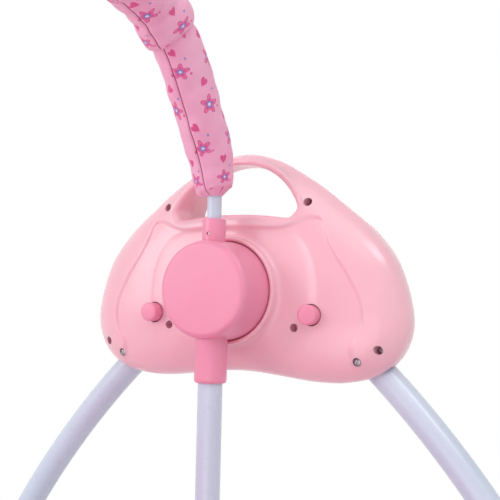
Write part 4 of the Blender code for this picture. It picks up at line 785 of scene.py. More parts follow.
def buildControls():
    turned = [(0.0661, 0.0), (0.0661, 0.003), (0.0756, 0.003), (0.0756, 0.0148), (0.0760, 0.0150),
              (0.0800, 0.0149), (0.0825, 0.0147), (0.0834, 0.0143), (0.0838, 0.0136), (0.0838, 0.0122),
              (0.0832, 0.0114), (0.0830, 0.0100), (0.0830, 0.0040), (0.0832, 0.0)]
    middle, gap = controls["knob"], place["gap"]
    knob = scallopedDisc("speedKnob", turned, (middle, 0.0), 24, 0.0005)
    pointer = roundedBox("pointer", (0.0822, middle - 0.0009, 0.0050), (0.0843, middle + 0.0009, 0.0132),
                         0.0004)
    music = [(0.0681, 0.0), (0.0681, 0.003), (0.0772, 0.003), (0.0772, 0.0078), (0.0776, 0.0080),
             (0.0818, 0.0079), (0.0826, 0.0076), (0.0831, 0.0068), (0.0832, 0.0056), (0.0829, 0.0040),
             (0.0828, 0.0)]
    button = spinProfile("musicButton", music, 64, (0.0, controls["music"], 0.0))
    for item, body in ((joined("speedKnob", [knob, pointer]), "speed_knob"), (button, "music_button")):
        hand(moved(item, rightHousing), body, "hub_pink", [body])
    door = plainBack("batteryDoor")
    lid = prismOf("lid", roundedLoop(*controls["door"], 0.0017, shrink=gap), controls["doorSeat"] + gap, 0.12)
    parts = [carve(door, lid, operation="INTERSECT")]
    for i in range(3):
        z = 0.0535 - 0.0035 * i
        parts.append(roundedBox("rib", (0.0815, -0.014, z), (0.08445, 0.014, z + 0.0014), 0.0004))
    door = moved(joined("batteryDoor", parts), rightHousing)
    hand(door, "battery_door", "pale_pink_shell", ["battery_door"])


buildControls()
print("outer shells and controls ready")

# Hub cups with their sockets
hub = {"length": 0.0398, "frontRadius": 0.0427, "backRadius": 0.0440, "edge": 0.0050, "wall": 0.003,
       "skirt": 0.0055, "shaftTube": 0.011, "shaftBore": 0.0063, "socketStart": 0.0385, "upperRadius": 0.0103,
       "upperTop": 0.0622, "lowerRadius": 0.01425, "lowerBottom": -0.0808, "chamfer": (0.0022, 0.0030),
       "screwHeight": 0.0490, "screwRadius": 0.0015}


def buildHub():
    length, edge, front, start = values(hub, "length", "edge", "frontRadius", "socketStart")
    profile = [(-length, 0.0), (-length, front * 0.5), (-length, front - edge - 0.0008)]
    profile += [(-length + edge * along, front - edge * across) for along, across in quarter(8)]
    profile += [(-0.022, 0.0432), (-0.010, 0.0437), (0.0, hub["backRadius"]), (hub["skirt"], hub["backRadius"]),
                (hub["skirt"], hub["backRadius"] - hub["wall"]), (-length + 0.003, front - hub["wall"]),
                (-length + 0.003, hub["shaftTube"]), (0.0079, hub["shaftTube"]), (0.0079, hub["shaftBore"]),
                (-length + 0.008, hub["shaftBore"]), (-length + 0.008, 0.0)]
    body = spinProfile("rightHubCup", profile, 128)
    high, low, thin, thick = values(hub, "upperTop", "lowerBottom", "upperRadius", "lowerRadius")
    wide, deep = hub["chamfer"]
    upper = [(start, 0.0), (start, thin), (high - 0.0007, thin), (high - 0.0002, thin - 0.0002),
             (high, thin - 0.0007), (high, 0.0)]
    lower = [(-start, 0.0), (-start, thick), (low + deep + 0.001, thick)]
    lower += [(low + deep * across, thick - wide * along) for along, across in quarter(6, 1)] + [(low, 0.0)]
    upperBore = [(0.0445, 0.0), (0.0445, 0.00665), (0.09, 0.00665), (0.09, 0.0)]
    lowerBore = [(-0.0468, 0.0), (-0.0468, 0.0111), (-0.10, 0.0111), (-0.10, 0.0)]
    for line, steps, operation in ((upper, 64, "UNION"), (lower, 64, "UNION"), (upperBore, 48, "DIFFERENCE"),
                                   (lowerBore, 48, "DIFFERENCE")):
        tool = spinProfile("socket", line, steps, (-place["armOffset"], 0.0, 0.0), "Z")
        carve(body, tool, operation=operation)
    spot = (0.0, hub["screwHeight"])
    carve(body, rodTool(hub["screwRadius"], -0.05, -place["armOffset"] - 0.0069, spot, 24))
    screw = [(-0.0300, 0.0), (-0.0300, 0.0008), (-0.0297, 0.0014), (-0.0274, 0.0014), (-0.0274, 0.0)]
    screw = spinProfile("rightSocketScrew", screw, 24, (0.0, *spot))
    return moved(body, rightHousing), moved(screw, rightHousing)


rightCup, rightScrew = buildHub()
hand(otherSide(rightCup, "leftHubCup"), "swing", "hub_pink", ["left_hub_cup"])
hand(rightCup, "swing", "hub_pink", ["right_hub_cup"])
hand(otherSide(rightScrew, "leftSocketScrew"), "swing", "steel")
hand(rightScrew, "swing", "steel")

# Lock buttons and screws
button = {"radius": 0.0087, "front": -0.0010, "back": 0.014, "plunger": 0.0045, "tip": 0.0378,
          "tipEdge": 0.0008, "rim": [(0.0001, 0.0020), (0.0003, 0.0011), (0.0007, 0.0005), (0.0012, 0.0002),
                                     (0.0019, 0.00004), (0.0040, 0.0)]}


def lockAt(name, spot):
    front, radius, plunger, tip = values(button, "front", "radius", "plunger", "tip")
    profile = [(front, 0.0), (front + 0.00004, 0.0040)]
    profile += [(front + depth, radius - less) for depth, less in button["rim"]]
    profile += [(button["back"], radius), (button["back"], plunger), (tip - button["tipEdge"], plunger),
                (tip, plunger - button["tipEdge"]), (tip, 0.0)]
    return moved(spinProfile(name, profile, 64, (0.0, *spot)), rightHousing)


# front, head radius and height of each screw, then the radius and far end of a shank
fixings = {"bolt": (0.0172, 0.0035, 0.0022, (0.0030, 0.0683)),
           "corner": (0.0272, 0.0034, 0.0025, (0.0016, 0.0520)),
           "high": (0.0272, 0.0033, 0.0026)}


def crossScrew(spot, front, radius, height, shank=None):
    # a pan head with a cross recess
    profile = [(front, 0.0), (front + 0.0001, radius * 0.5), (front + 0.0004, radius * 0.8),
               (front + 0.0009, radius * 0.96), (front + 0.0014, radius), (front + height, radius)]
    if shank:
        profile += [(front + height, shank[0]), (shank[1] - 0.0005, shank[0]), (shank[1], shank[0] - 0.0005)]
    profile.append((profile[-1][0], 0.0))
    head = spinProfile("crossScrew", profile, 40, (0.0, *spot))
    turn = Matrix.Translation((0, *spot)) @ Matrix.Rotation(math.radians(24), 4, "X")
    for wide, tall in ((radius * 0.62, 0.00042), (0.00042, radius * 0.62)):
        tool = roundedBox("slot", (front - 0.001, -wide, -tall), (front + 0.0013, wide, tall), 0)
        carve(head, moved(tool, turn))
    return moved(head, rightHousing)


def fitLocksAndScrews():
    y, z = wells["button"][0]
    for end, word in ((-1, "Front"), (1, "Rear")):
        right = lockAt("right" + word + "Lock", (end * y, z))
        left = moved(lockAt("left" + word + "Lock", (-end * y, z)), halfTurn)
        for item, side in ((right, "right_"), (left, "left_")):
            body = side + word.lower() + "_lock"
            hand(item, body, "hub_pink", [body + "_button"])
    screws = []
    for way in (-1, 1):
        for key, sizes in fixings.items():
            y, z = wells[key][0]
            screws.append(crossScrew((way * y, z), *sizes))
    screws = joined("rightScrews", screws)
    for item, side in ((otherSide(screws, "leftScrews"), "left"), (screws, "right")):
        kinds = ("_front_leg_pin", "_front_shell_screw", "_rear_leg_pin", "_rear_shell_screw")
        hand(item, "housings", "steel", [side + kind for kind in kinds])


fitLocksAndScrews()
print("hubs, locks and screws ready")

# Tubes: legs, floor bars, arms, arch and seat loop
swing = {"armRadius": 0.0108, "archRadius": 0.00635, "knee": 0.1043, "top": 0.238, "lean": math.radians(33.15),
         "kneeRadius": 0.100, "shoulderRadius": 0.136, "archStart": 0.0445, "seatDrop": 0.360,
         "seatFront": -0.272, "seatBend": 0.040, "backRun": 0.240, "backRise": 0.190, "topHalfWidth": 0.182,
         "cornerRadius": 0.060, "bendRadius": 0.055}
foot = {"radius": 0.0165, "height": 0.055, "reach": 0.041, "base": 0.004, "barHeight": 0.0165,
        "barInset": 0.016, "voxel": 0.0012, "slack": 0.0004}
seatLevel = place["pivotHeight"] - swing["seatDrop"]


def bentPath(corners, radii, turnStep=math.radians(3)):
    # straight runs joined by arcs
    points = [Vector(corners[0])]
    for before, here, after, radius in zip(corners, corners[1:], corners[2:], radii):
        corner = Vector(here)
        into, out = (Vector(before) - corner).normalized(), (Vector(after) - corner).normalized()
        turn = math.pi - into.angle(out)
        reach = radius * math.tan(turn / 2)
        centre = corner + (into + out).normalized() * radius / math.cos(turn / 2)
        arm = corner + into * reach - centre
        axis = arm.cross(corner + out * reach - centre).normalized()
        steps = max(2, round(turn / turnStep))
        points += [centre + Matrix.Rotation(turn * k / steps, 3, axis) @ arm for k in range(steps + 1)]
    return points + [Vector(corners[-1])]


def spaced(points, spacing):
    # the same line in even short steps
    line = np.array([tuple(point) for point in points])
    reach = np.concatenate([[0], np.cumsum(np.linalg.norm(np.diff(line, axis=0), axis=1))])
    goals = np.linspace(0, reach[-1], max(2, round(reach[-1] / spacing)) + 1)
    return np.stack([np.interp(goals, reach, line[:, k]) for k in range(3)], 1), goals


def unit(vectors):
    return vectors / np.linalg.norm(vectors, axis=1)[:, None]


def mirrored(half):
    # a path on the right side carried on across the middle
    return half + [(-x, y, z) for x, y, z in half[::-1]]


def legPath(side, end):
    lean, curve = legs["lean"], legs["curve"]
    pivot, down = Vector(wells["bolt"][0]), downward(lean, 1)
    first = pivot + down * legs["straight"]
    points = [pivot - down * legs["topReach"]]
    last = math.asin(math.sin(lean) - (place["pivotHeight"] + first.y - legs["endHeight"]) / curve)
    for i in range(49):
        angle = lean + (last - lean) * i / 48
        turned = Vector((math.cos(angle) - math.cos(lean), math.sin(angle) - math.sin(lean)))
        points.append(first + curve * turned)
    return [Vector((side * place["legPlane"], end * p.x, p.y + place["pivotHeight"])) for p in points]


def buildLeg(side, end, name):
    item = tubeAlong(name, legPath(side, end), legs["radius"], fineness=14)
    for key, radius, start, stop in (("bolt", 0.0033, -0.02, 0.02), ("button", 0.0048, -0.02, 0.0)):
        y, z = wells[key][0]
        tool = rodTool(radius, start * side, stop * side, (end * y, z))
        editAll(tool, faceOut)
        spot = Matrix.Translation((side * place["legPlane"], 0, place["pivotHeight"]))
        carve(item, moved(tool, spot))
    return item


def buildFoot(side, end, name):
    # elbow of soft rubber: a stand up the leg, a sleeve along the bar and a flat base
    path = legPath(side, end)
    low, up = path[-1], (path[-2] - path[-1]).normalized()
    slack, barHeight, radius = foot["slack"], foot["barHeight"], foot["radius"] - foot["slack"]
    top = low + up * (foot["height"] - legs["endHeight"])
    inner = side * (place["legPlane"] - foot["reach"])
    half = foot["radius"] * 0.8
    near, far = sorted((inner, side * (place["legPlane"] + half)))
    parts = [tubeAlong(name, [low - up * (legs["endHeight"] - foot["base"]) / up.z, top], radius),
             tubeAlong("sleeve", [(side * place["legPlane"], low.y, barHeight), (inner, low.y, barHeight)],
                       radius - 0.0005),
             roundedBox("base", (near, low.y - half, 0.0), (far, low.y + half, barHeight), 0.002),
             tubeAlong("rim", [top - up * 0.004, top], radius + slack)]
    item = joined(name, parts)
    applied(item, "REMESH", mode="VOXEL", voxel_size=foot["voxel"])
    applied(item, "SMOOTH", factor=0.5, iterations=4)
    barEnd = side * (place["legPlane"] - foot["barInset"] + place["gap"])
    bores = ([low - up * place["gap"], low + up * 0.08],
             [(barEnd, low.y, barHeight), (inner - side * 0.01, low.y, barHeight)])
    carve(item, *(tubeAlong("bore", bore, legs["radius"] + slack) for bore in bores))
    return moved(item, Matrix.Translation((0, 0, -readPoints(item)[:, 2].min())))


def archPath():
    plane = place["armPlane"]
    shoulder = plane - (swing["top"] - swing["knee"]) * math.tan(swing["lean"])
    corners = mirrored([(plane, 0.0, swing["archStart"]), (plane, 0.0, swing["knee"]),
                        (shoulder, 0.0, swing["top"])])
    radii = [swing["kneeRadius"], swing["shoulderRadius"]]
    return [upToPivot @ point for point in bentPath(corners, radii + radii[::-1])]


def seatLoop():
    plane, front, bend = place["armPlane"], swing["seatFront"], swing["seatBend"]
    corners = mirrored([(0.0003, front, seatLevel), (plane, front, seatLevel), (plane, bend, seatLevel),
                        (swing["topHalfWidth"], bend + swing["backRun"], seatLevel + swing["backRise"])])
    radii = [swing["cornerRadius"], swing["bendRadius"], swing["cornerRadius"]]
    return bentPath(corners, radii + radii[::-1])


def buildTubes():
    for end, word in ((-1, "front"), (1, "rear")):
        for side, sideWord in ((1, "right"), (-1, "left")):
            label, title = sideWord + "_" + word, sideWord + word.capitalize()
            hand(buildLeg(side, end, title + "Leg"), word + "_legs", "tube_paint", [label + "_leg"])
            hand(buildFoot(side, end, title + "Foot"), word + "_legs", "foot_rubber", [label + "_foot"])
        y, reach = legPath(1, end)[-1].y, place["legPlane"] - foot["barInset"]
        ends = [(-reach, y, foot["barHeight"]), (reach, y, foot["barHeight"])]
        bar = tubeAlong(word + "FloorBar", ends, legs["radius"], fineness=14)
        hand(bar, word + "_legs", "tube_paint", [word + "_floor_bar"])
    for side, word in ((1, "right"), (-1, "left")):
        low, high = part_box(word + "_arm_tube")
        x = side * place["armPlane"]
        arm = tubeAlong(word + "ArmTube", [(x, 0, low.z), (x, 0, high.z)], swing["armRadius"], fineness=14)
        hand(arm, "swing", "tube_paint", [word + "_arm_tube"])
    hand(tubeAlong("archTube", archPath(), swing["archRadius"]), "swing", "tube_paint", ["arch_tube"])
    hand(tubeAlong("seatFrame", seatLoop(), swing["armRadius"], True), "swing", "tube_paint", ["seat_frame"])


buildTubes()
print("tubes and feet ready")

# Fabric sleeves on the arch: outer radius by distance from the hem; creases by size, length, turns and phase
sleeves = {"start": 0.038, "slant": 0.008, "hemSlant": 0.011, "slantFade": 0.016, "hem": 0.182,
           "overlap": 0.014, "columns": 96, "spacing": 0.0014, "bore": 0.00700, "girth": 0.135,
           "lower": [(0.000, 0.0138), (0.0010, 0.0151), (0.003, 0.0159), (0.007, 0.0167), (0.013, 0.0177),
                     (0.022, 0.0188), (0.032, 0.0197), (0.046, 0.0204), (0.075, 0.0205), (0.110, 0.0207),
                     (0.134, 0.0208), (0.143, 0.0202), (0.151, 0.0188), (0.158, 0.0172)],
           "upper": [(0.000, 0.0224), (0.0015, 0.0231), (0.004, 0.0237), (0.009, 0.0244), (0.016, 0.0246),
                     (0.026, 0.0240), (0.034, 0.0224), (0.042, 0.0239), (0.055, 0.0243), (0.090, 0.0240)],
           "lowerCreases": [(0.00030, 0.047, 2, 0.3), (0.00022, 0.027, -1, 1.9), (0.00018, 0.019, 3, 4.0)],
           "upperCreases": [(0.0005, 0.052, 2, 0.7), (0.0004, 0.031, -1, 2.6), (0.00025, 0.019, 3, 1.0)]}


def sleeveMesh(name, start, end, shape, slant, bothEnds=0):
    # shape(distance, angle) gives the outer radius; the bore fits the tube; a slant lifts the hem at the front
    line, reach = spaced(archPath(), 0.0005)
    stations = np.linspace(start, end, round((end - start) / sleeves["spacing"]) + 1)
    centre = np.stack([np.interp(stations, reach, line[:, k]) for k in range(3)], 1)
    ahead = unit(np.gradient(centre, axis=0))
    columns, sideways = sleeves["columns"], np.array((0.0, 1.0, 0.0))
    angles = fullTurn * np.arange(columns + 1) / columns
    sides = np.cross(ahead, sideways)[:, None, :] * np.cos(angles)[None, :, None]
    sides += sideways * np.sin(angles)[None, :, None]
    outer = centre[:, None, :] + sides * shape(stations[:, None], angles[None, :])[:, :, None]
    fade = np.exp(-(stations - start) / sleeves["slantFade"])
    fade -= bothEnds * np.exp(-(end - stations) / sleeves["slantFade"])
    outer += ahead[:, None, :] * (slant * (0.5 - 0.5 * np.sin(angles))[None, :] * fade[:, None])[:, :, None]
    inner = centre[:, None, :] + sides * sleeves["bore"]
    table = np.concatenate([outer, inner[::-1], outer[:1]])
    rows = len(table) - 1
    return wrapGrid(name, columns, rows, lambda column, row: table[row, column],
                    (sleeves["girth"], rows * sleeves["spacing"]))


def sleeveRadius(key, along, distance, angle):
    # radius by distance from the hem, with soft creases: sums of slow waves that fade in from the hem
    reach, sizes = zip(*sleeves[key])
    fade = {"lower": 0.014, "upper": 0.012}[key]
    creases = sum(size * np.sin(fullTurn * distance / length + turns * angle + phase)
                  for size, length, turns, phase in sleeves[key + "Creases"])
    return np.interp(along, reach, sizes) + creases * (1 - np.exp(-along / fade))


def seam(angle, depth):
    # lengthwise seam on the seat side, with a stitched ridge on each side of it
    offset = np.abs((angle + math.pi) % fullTurn - math.pi)
    return -depth * np.exp(-(offset / 0.040) ** 2) + depth * 0.35 * np.exp(-((offset - 0.12) / 0.06) ** 2)


def buildSleeves():
    start, hem, total = sleeves["start"], sleeves["hem"], spaced(archPath(), 0.0005)[1][-1]

    def lowerShape(distance, angle):
        along = distance - start
        pleats = 0.0005 * np.exp(-along / 0.014) * np.cos(11 * angle + 1.3 * np.sin(2 * angle))
        return sleeveRadius("lower", along, distance, angle) + pleats + seam(angle, 0.0011)

    def upperShape(distance, angle):
        along = np.minimum(distance, total - distance) - hem
        rolled = 0.0009 * np.exp(-along / 0.006) * np.cos(5 * angle + 0.8)
        return sleeveRadius("upper", along, distance, angle) + rolled + seam(angle, 0.0012)

    lower = sleeveMesh("rightArchSleeve", start, hem + sleeves["overlap"], lowerShape, sleeves["slant"])
    upper = sleeveMesh("topArchSleeve", hem, total - hem, upperShape, sleeves["hemSlant"], 1)
    print("sleeve faces:", len(lower.data.polygons), len(upper.data.polygons))
    cloth = printedCloth("sleevePrint", sleeves["girth"])
    for item, node in ((otherSide(lower, "leftArchSleeve"), "left_arch_sleeve"), (lower, "right_arch_sleeve"),
                       (upper, "top_arch_sleeve")):
        hand(item, "swing", "pink_fabric", [node], 60, cloth)


buildSleeves()
print("sleeves ready")

# Seat and back cushions: swelled as cloth, then piped round the edge
pads = {"thickness": 0.040, "rim": 0.0085, "waist": 0.010, "cuts": 30, "voxel": 0.005, "channelDepth": 0.010,
        "channelWidth": 0.010, "piping": 0.0024, "headGap": 0.022,
        "sling": {"half": 0.200, "thick": 0.0032, "front": 0.034, "back": 0.024, "columns": 40},
        "seat": {"near": 0.2232, "far": 0.2232, "length": 0.2786, "corners": (0.060, 0.020),
                 "channels": (-0.35, 0.35), "low": (-0.2218, 0.0012, -0.0194),
                 "high": (0.2218, 0.2782, 0.0286)},
        "back": {"near": 0.2192, "far": 0.1751, "length": 0.2733, "corners": (0.020, 0.060),
                 "channels": (-0.5, 0.0, 0.5), "low": (-0.2180, 0.0010, -0.0194),
                 "high": (0.2180, 0.2727, 0.0286)}}
air = {"frames": 20, "pressure": 4.0, "cap": 0.009,
       "cloth": {"quality": 5, "mass": 0.3, "tension_stiffness": 12.0, "compression_stiffness": 12.0,
                 "shear_stiffness": 4.0, "bending_stiffness": 0.4, "vertex_group_mass": "held",
                 "shrink_min": -0.03}}


def cornerInset(distance, radius):
    return radius - np.sqrt(radius ** 2 - np.clip(radius - distance, 0, radius) ** 2)


def padBlank(name, shape):
    startFresh()
    bpy.ops.mesh.primitive_cube_add(size=2)
    item = named(name)
    editAll(item, lambda: bpy.ops.mesh.subdivide(number_cuts=pads["cuts"]))
    u, v, w = readPoints(item).T
    length, (nearCorner, farCorner) = shape["length"], shape["corners"]
    y = length * (v + 1) / 2
    half = shape["near"] + (shape["far"] - shape["near"]) * y / length
    half = half - cornerInset(y, nearCorner) - cornerInset(length - y, farCorner)
    half = half - pads["waist"] * (1 - v * v) * np.abs(u) ** 3
    swell = ((1 - u ** 4) * (1 - v ** 4)).clip(0, 1) ** 0.45
    high = pads["rim"] + (pads["thickness"] - pads["rim"]) * swell
    writePoints(item, np.stack([u * half, y, w * high / 2], 1))
    applied(item, "REMESH", mode="VOXEL", voxel_size=pads["voxel"])
    return applied(item, "SMOOTH", factor=0.5, iterations=3)


def swellUp(item, held):
    # air pressure inside the cover; what is held stays where it is sewn
    before = readPoints(item)
    group = item.vertex_groups.new(name="held")
    for index, weight in enumerate(held):
        if weight > 0.02:
            group.add([index], float(weight), "REPLACE")
    pick(item)
    change = item.modifiers.new("swell", "CLOTH")
    change.settings.use_pressure = True
    change.settings.uniform_pressure_force = air["pressure"]
    change.settings.effector_weights.gravity = 0.0
    for key, value in air["cloth"].items():
        setattr(change.settings, key, value)
    for step in range(1, air["frames"] + 1):
        bpy.context.scene.frame_set(step)
    after = readPoints(item.evaluated_get(bpy.context.evaluated_depsgraph_get()))
    item.modifiers.remove(change)
    bpy.context.scene.frame_set(1)
    shift = after - before
    size = np.linalg.norm(shift, axis=1)[:, None]
    writePoints(item, before + shift * np.minimum(1, air["cap"] / np.maximum(size, 0.0000001)))
    item.vertex_groups.clear()


def pipingRound(name, item, level, bins=144):
    # a cord of cloth along the widest line of the pad
    points = readPoints(item)
    middle = (points.max(0) + points.min(0)) / 2
    spread = (points.max(0) - points.min(0))[:2] / 2
    flat = (points - middle)[np.abs(points[:, 2] - level) < 0.006]
    bearing = np.arctan2(flat[:, 1] / spread[1], flat[:, 0] / spread[0])
    farthest = np.zeros(bins)
    sector = ((bearing + math.pi) / fullTurn * bins).astype(int) % bins
    np.maximum.at(farthest, sector, np.hypot(flat[:, 0], flat[:, 1]))
    farthest = (np.roll(farthest, 1) + 2 * farthest + np.roll(farthest, -1)) / 4
    line = []
    for i in range(bins):
        angle = (i + 0.5) / bins * fullTurn - math.pi
        ahead = np.array([math.cos(angle) * spread[0], math.sin(angle) * spread[1]])
        ahead *= (farthest[i] - pads["piping"] * 0.9) / np.linalg.norm(ahead)
        line.append((middle[0] + ahead[0], middle[1] + ahead[1], level))
    return tubeAlong(name, line, pads["piping"], True, 3)


def buildPad(name, shape, spot, node):
    item = padBlank(name, shape)
    x, y, z = readPoints(item).T
    v = 2 * y / shape["length"] - 1
    pinch = np.zeros(len(x))
    for line in shape["channels"]:
        away = (v - line) * shape["length"] / 2
        pinch = np.maximum(pinch, np.exp(-(away / pads["channelWidth"]) ** 2))
    inner = np.clip(((shape["near"] + shape["far"]) / 2 - np.abs(x)) / 0.04, 0, 1)
    top = np.clip(z / 0.008, 0, 1)
    writePoints(item, np.stack([x, y, z - pads["channelDepth"] * pinch * inner * top], 1))
    edge = np.exp(-(z / 0.004) ** 2) * (inner < 0.5)
    swellUp(item, np.maximum(0.95 * pinch * inner * top * (pinch > 0.6), 0.6 * edge))
    applied(item, "SUBSURF", levels=1, render_levels=1)
    # a small stretch into the space that the frame leaves for the pad
    points, low, high = readPoints(item), np.array(shape["low"]), np.array(shape["high"])
    least, most = points.min(0), points.max(0)
    writePoints(item, low + (points - least) * (high - low) / (most - least))
    # the print lies flat on the pad: x across, y along
    layer = item.data.uv_layers.new(name="UVMap") if not item.data.uv_layers else item.data.uv_layers[0]
    corners = np.zeros(len(item.data.loops), int)
    item.data.loops.foreach_get("vertex_index", corners)
    layer.data.foreach_set("uv", readPoints(item)[corners][:, :2].ravel())
    piping = pipingRound(name + "Piping", item, float(low[2] * 0.55 + high[2] * 0.45))
    hand(moved(item, spot), "swing", "pink_fabric", [node], 180)
    hand(moved(piping, spot), "swing", "strap_webbing")


def buildSling():
    # the strip of cloth in the bend between the two cushions
    sizes, bend = pads["sling"], swing["seatBend"]
    corners = [(0, bend - sizes["front"], 0), (0, bend, 0), (0, bend + sizes["back"], sizes["back"])]
    path = bentPath(corners, [0.030], math.radians(5))
    line = np.array([tuple(point) for point in path])
    lift = np.cross((1.0, 0.0, 0.0), unit(np.gradient(line, axis=0))) * sizes["thick"] / 2
    table = np.concatenate([line + lift, (line - lift)[::-1], line[:1] + lift[:1]])
    reach = np.linspace(-sizes["half"], sizes["half"], sizes["columns"] + 1)

    def pointsOf(column, row):
        puff = 1 + 0.25 * np.cos(row * 1.7) * np.sin(column * 0.9)
        spread = np.stack([reach[column], 0 * reach[column], 0.0006 * puff], 1)
        return table[row] * np.array((0.0, 1.0, 1.0)) + spread

    sling = wrapGrid("seatSling", sizes["columns"], len(table) - 1, pointsOf)
    editAll(sling, partial(bpy.ops.mesh.fill_holes, sides=0), faceOut)
    hand(moved(sling, Matrix.Translation((0, 0, seatLevel))), "swing", "strap_webbing")


def buildCushions():
    seatPlace = Matrix.Translation((0, swing["seatFront"] + swing["armRadius"] + place["gap"], seatLevel))
    recline = Matrix.Rotation(math.atan2(swing["backRise"], swing["backRun"]), 4, "X")
    backPlace = Matrix.Translation((0, swing["seatBend"], seatLevel)) @ recline
    backPlace = backPlace @ Matrix.Translation((0, pads["headGap"], 0))
    buildPad("seatCushion", pads["seat"], seatPlace, "seat_cushion")
    buildPad("backCushion", pads["back"], backPlace, "back_cushion")
    buildSling()


buildCushions()
print("cushions ready")

# Harness
harness = {"width": 0.025, "thickness": 0.0022, "spread": 0.110, "place": -0.105, "halfWidth": 0.026,
           "halfLength": 0.019, "height": 0.016, "seatTop": -swing["seatDrop"] + 0.0288, "pocket": 0.0103,
           "strapEdge": [(1.0, 0.0), (0.985, 0.75), (0.95, 1.0), (0.86, 0.8), (0.5, 0.86), (0.0, 0.86)]}


def strapAlong(name, points):
    # webbing with rolled edges, closed at both ends
    line = spaced(points, 0.0025)[0]
    ahead = unit(np.gradient(line, axis=0))
    across = unit(np.cross(ahead, (0.0, 0.0, 1.0)))
    face = np.cross(across, ahead)
    section = harness["strapEdge"] + [(-a, b) for a, b in harness["strapEdge"][-2::-1]]
    section += [(a, -b) for a, b in section[1:-1][::-1]]
    section = np.array(section + section[:1])
    ring = line[:, None, :] + across[:, None, :] * section[None, :, :1] * harness["width"] / 2
    ring = ring + face[:, None, :] * section[None, :, 1:] * harness["thickness"] / 2
    ends = [np.repeat(line[k:k + 1, None, :], len(section), 1) for k in (0, len(line) - 1)]
    table = np.concatenate([ends[0], ring, ends[1]])
    return wrapGrid(name, len(section) - 1, len(table) - 1, lambda column, row: table[row, column])


def buildHarness():
    top, gap, spot, bend = harness["seatTop"], place["gap"], harness["place"], swing["seatBend"]
    level = top + gap + harness["height"] / 2
    front = spot - harness["halfLength"]
    low = top + harness["thickness"] / 2 + 2 * gap
    channel = swing["seatFront"] + swing["armRadius"] + gap + pads["seat"]["length"] * 0.325
    crotch = [(0, channel, low), (0, front - 0.022, low), (0, front - 0.009, level), (0, front - gap, level)]
    straps = [("crotchStrap", crotch, [0.012, 0.010], "crotch_strap")]
    for side, word in ((1, "right"), (-1, "left")):
        far, near = side * harness["spread"], side * (harness["halfWidth"] + gap)
        lap = [(far, bend - 0.010, top - 0.010), (far, bend - 0.034, top + 0.004),
               (side * (harness["halfWidth"] + 0.034), spot, level), (near, spot, level)]
        straps.append((word + "WaistStrap", lap, [0.020, 0.035], word + "_waist_strap"))
    for name, corners, radii, node in straps:
        item = strapAlong(name, bentPath(corners, radii, math.radians(6)))
        hand(moved(item, upToPivot), "swing", "strap_webbing", [node])
    wide, long, reach = harness["halfWidth"] - 0.0001, harness["halfLength"] - 0.0001, harness["pocket"]
    half = harness["height"] / 2
    body = roundedBox("harnessBuckle", (-wide, spot - long, level - half), (wide, spot + long, level + half),
                      0.0035, 4)
    carve(body, roundedBox("pocket", (-reach, spot - reach, level), (reach, spot + reach, level + 0.02), 0))
    applied(body, "BEVEL", width=0.0004, segments=2, limit_method="ANGLE", angle_limit=math.radians(60))
    hand(moved(body, upToPivot), "swing", "hub_pink", ["harness_buckle"])
    lowest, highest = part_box("buckle_button")
    parts = [roundedBox("buckleButton", lowest, highest, 0.0012)]
    for i in range(4):
        y, z = spot - 0.0055 + 0.0036 * i, highest.z
        parts.append(roundedBox("rib", (-0.006, y, z - 0.0004), (0.006, y + 0.0018, z + 0.0004), 0.0003))
    hand(joined("buckleButton", parts), "buckle_button", "nylon", ["buckle_button"])


buildHarness()
print("harness ready")

# Studio: each lamp's name, place, target, size and power
studio = {"floorRadius": 1.9, "floorFade": (0.75, 1.8), "worldStrength": 0.51, "lamps": [
    ("topSoftbox", (-0.9, -0.5, 2.1), (0.1, 0.0, 0.5), 1.6, 9.3),
    ("leftSoftbox", (-1.2, 1.2, 1.1), (0.2, 0.0, 0.5), 1.0, 11.5),
    ("lowSoftbox", (-1.0, -0.2, 0.12), (0.2, 0.0, 0.5), 0.9, 3.4),
    ("rightSoftbox", (-0.30, -1.36, 2.06), (0.27, -0.10, 0.63), 0.62, 7.0),
    ("backSoftbox", (1.4, 0.6, 1.5), (0.2, 0.0, 0.5), 1.2, 7.0),
]}


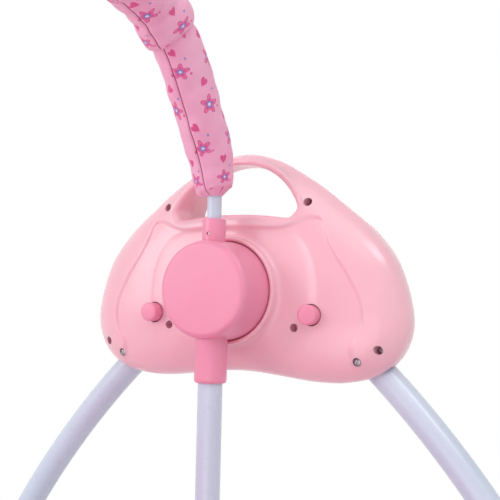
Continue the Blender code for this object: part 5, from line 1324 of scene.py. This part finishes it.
def addLamp(name, spot, target, size, power):
    startFresh()
    bpy.ops.object.light_add(type="AREA", location=spot)
    lamp = named(name)
    lamp.data.shape = "SQUARE"
    lamp.data.size = size
    lamp.data.energy = power
    lamp.rotation_euler = (Vector(target) - Vector(spot)).to_track_quat("-Z", "Y").to_euler()


def whiteForCamera(tree, shaderSocket, whiteNode):
    # camera, mirror and glass rays see plain white
    rays = addNode(tree, "LightPath", {}).outputs
    seen = rays["Is Camera Ray"]
    for other in ("Is Glossy Ray", "Is Transmission Ray"):
        seen = addNode(tree, "Math", {0: seen, 1: rays[other]}, operation="MAXIMUM").outputs[0]
    return addNode(tree, "MixShader", {0: seen, 1: shaderSocket, 2: whiteNode.outputs[0]}).outputs[0]


def buildStudio():
    for entry in studio["lamps"]:
        addLamp(*entry)
    world = bpy.data.worlds.new("studioWorld")
    bpy.context.scene.world = world
    world.use_nodes = True
    tree = world.node_tree
    soft = tree.nodes["Background"]
    soft.inputs["Color"].default_value = (1.0, 0.985, 0.99, 1.0)
    soft.inputs["Strength"].default_value = studio["worldStrength"]
    white = addNode(tree, "Background", {"Color": (1.0, 1.0, 1.0, 1.0)})
    tree.links.new(whiteForCamera(tree, soft.outputs[0], white), tree.nodes["World Output"].inputs[0])
    startFresh()
    bpy.ops.mesh.primitive_circle_add(vertices=96, radius=studio["floorRadius"], fill_type="NGON")
    floor = named("studioFloor")
    # the floor's paint turns into plain white towards its rim
    paint = Recipe("studioFloorPaint", Roughness=0.8)
    paint.give("Base Color", (0.86, 0.86, 0.865, 1.0))
    split = paint.node("SeparateXYZ", {0: paint.place.outputs["Object"]})
    squares = [paint.calc("MULTIPLY", split.outputs[k], split.outputs[k]) for k in (0, 1)]
    fade = paint.spread(paint.calc("SQRT", paint.calc("ADD", *squares)), *studio["floorFade"])
    glow = paint.node("Emission", {})
    blend = paint.node("MixShader", {0: fade, 1: paint.shader.outputs[0], 2: glow.outputs[0]})
    put(paint.tree, paint.tree.nodes["Material Output"].inputs[0], blend.outputs[0])
    floor.data.materials.append(paint.material)


buildStudio()
bpy.context.scene.view_settings.view_transform = "Standard"
print("studio ready")
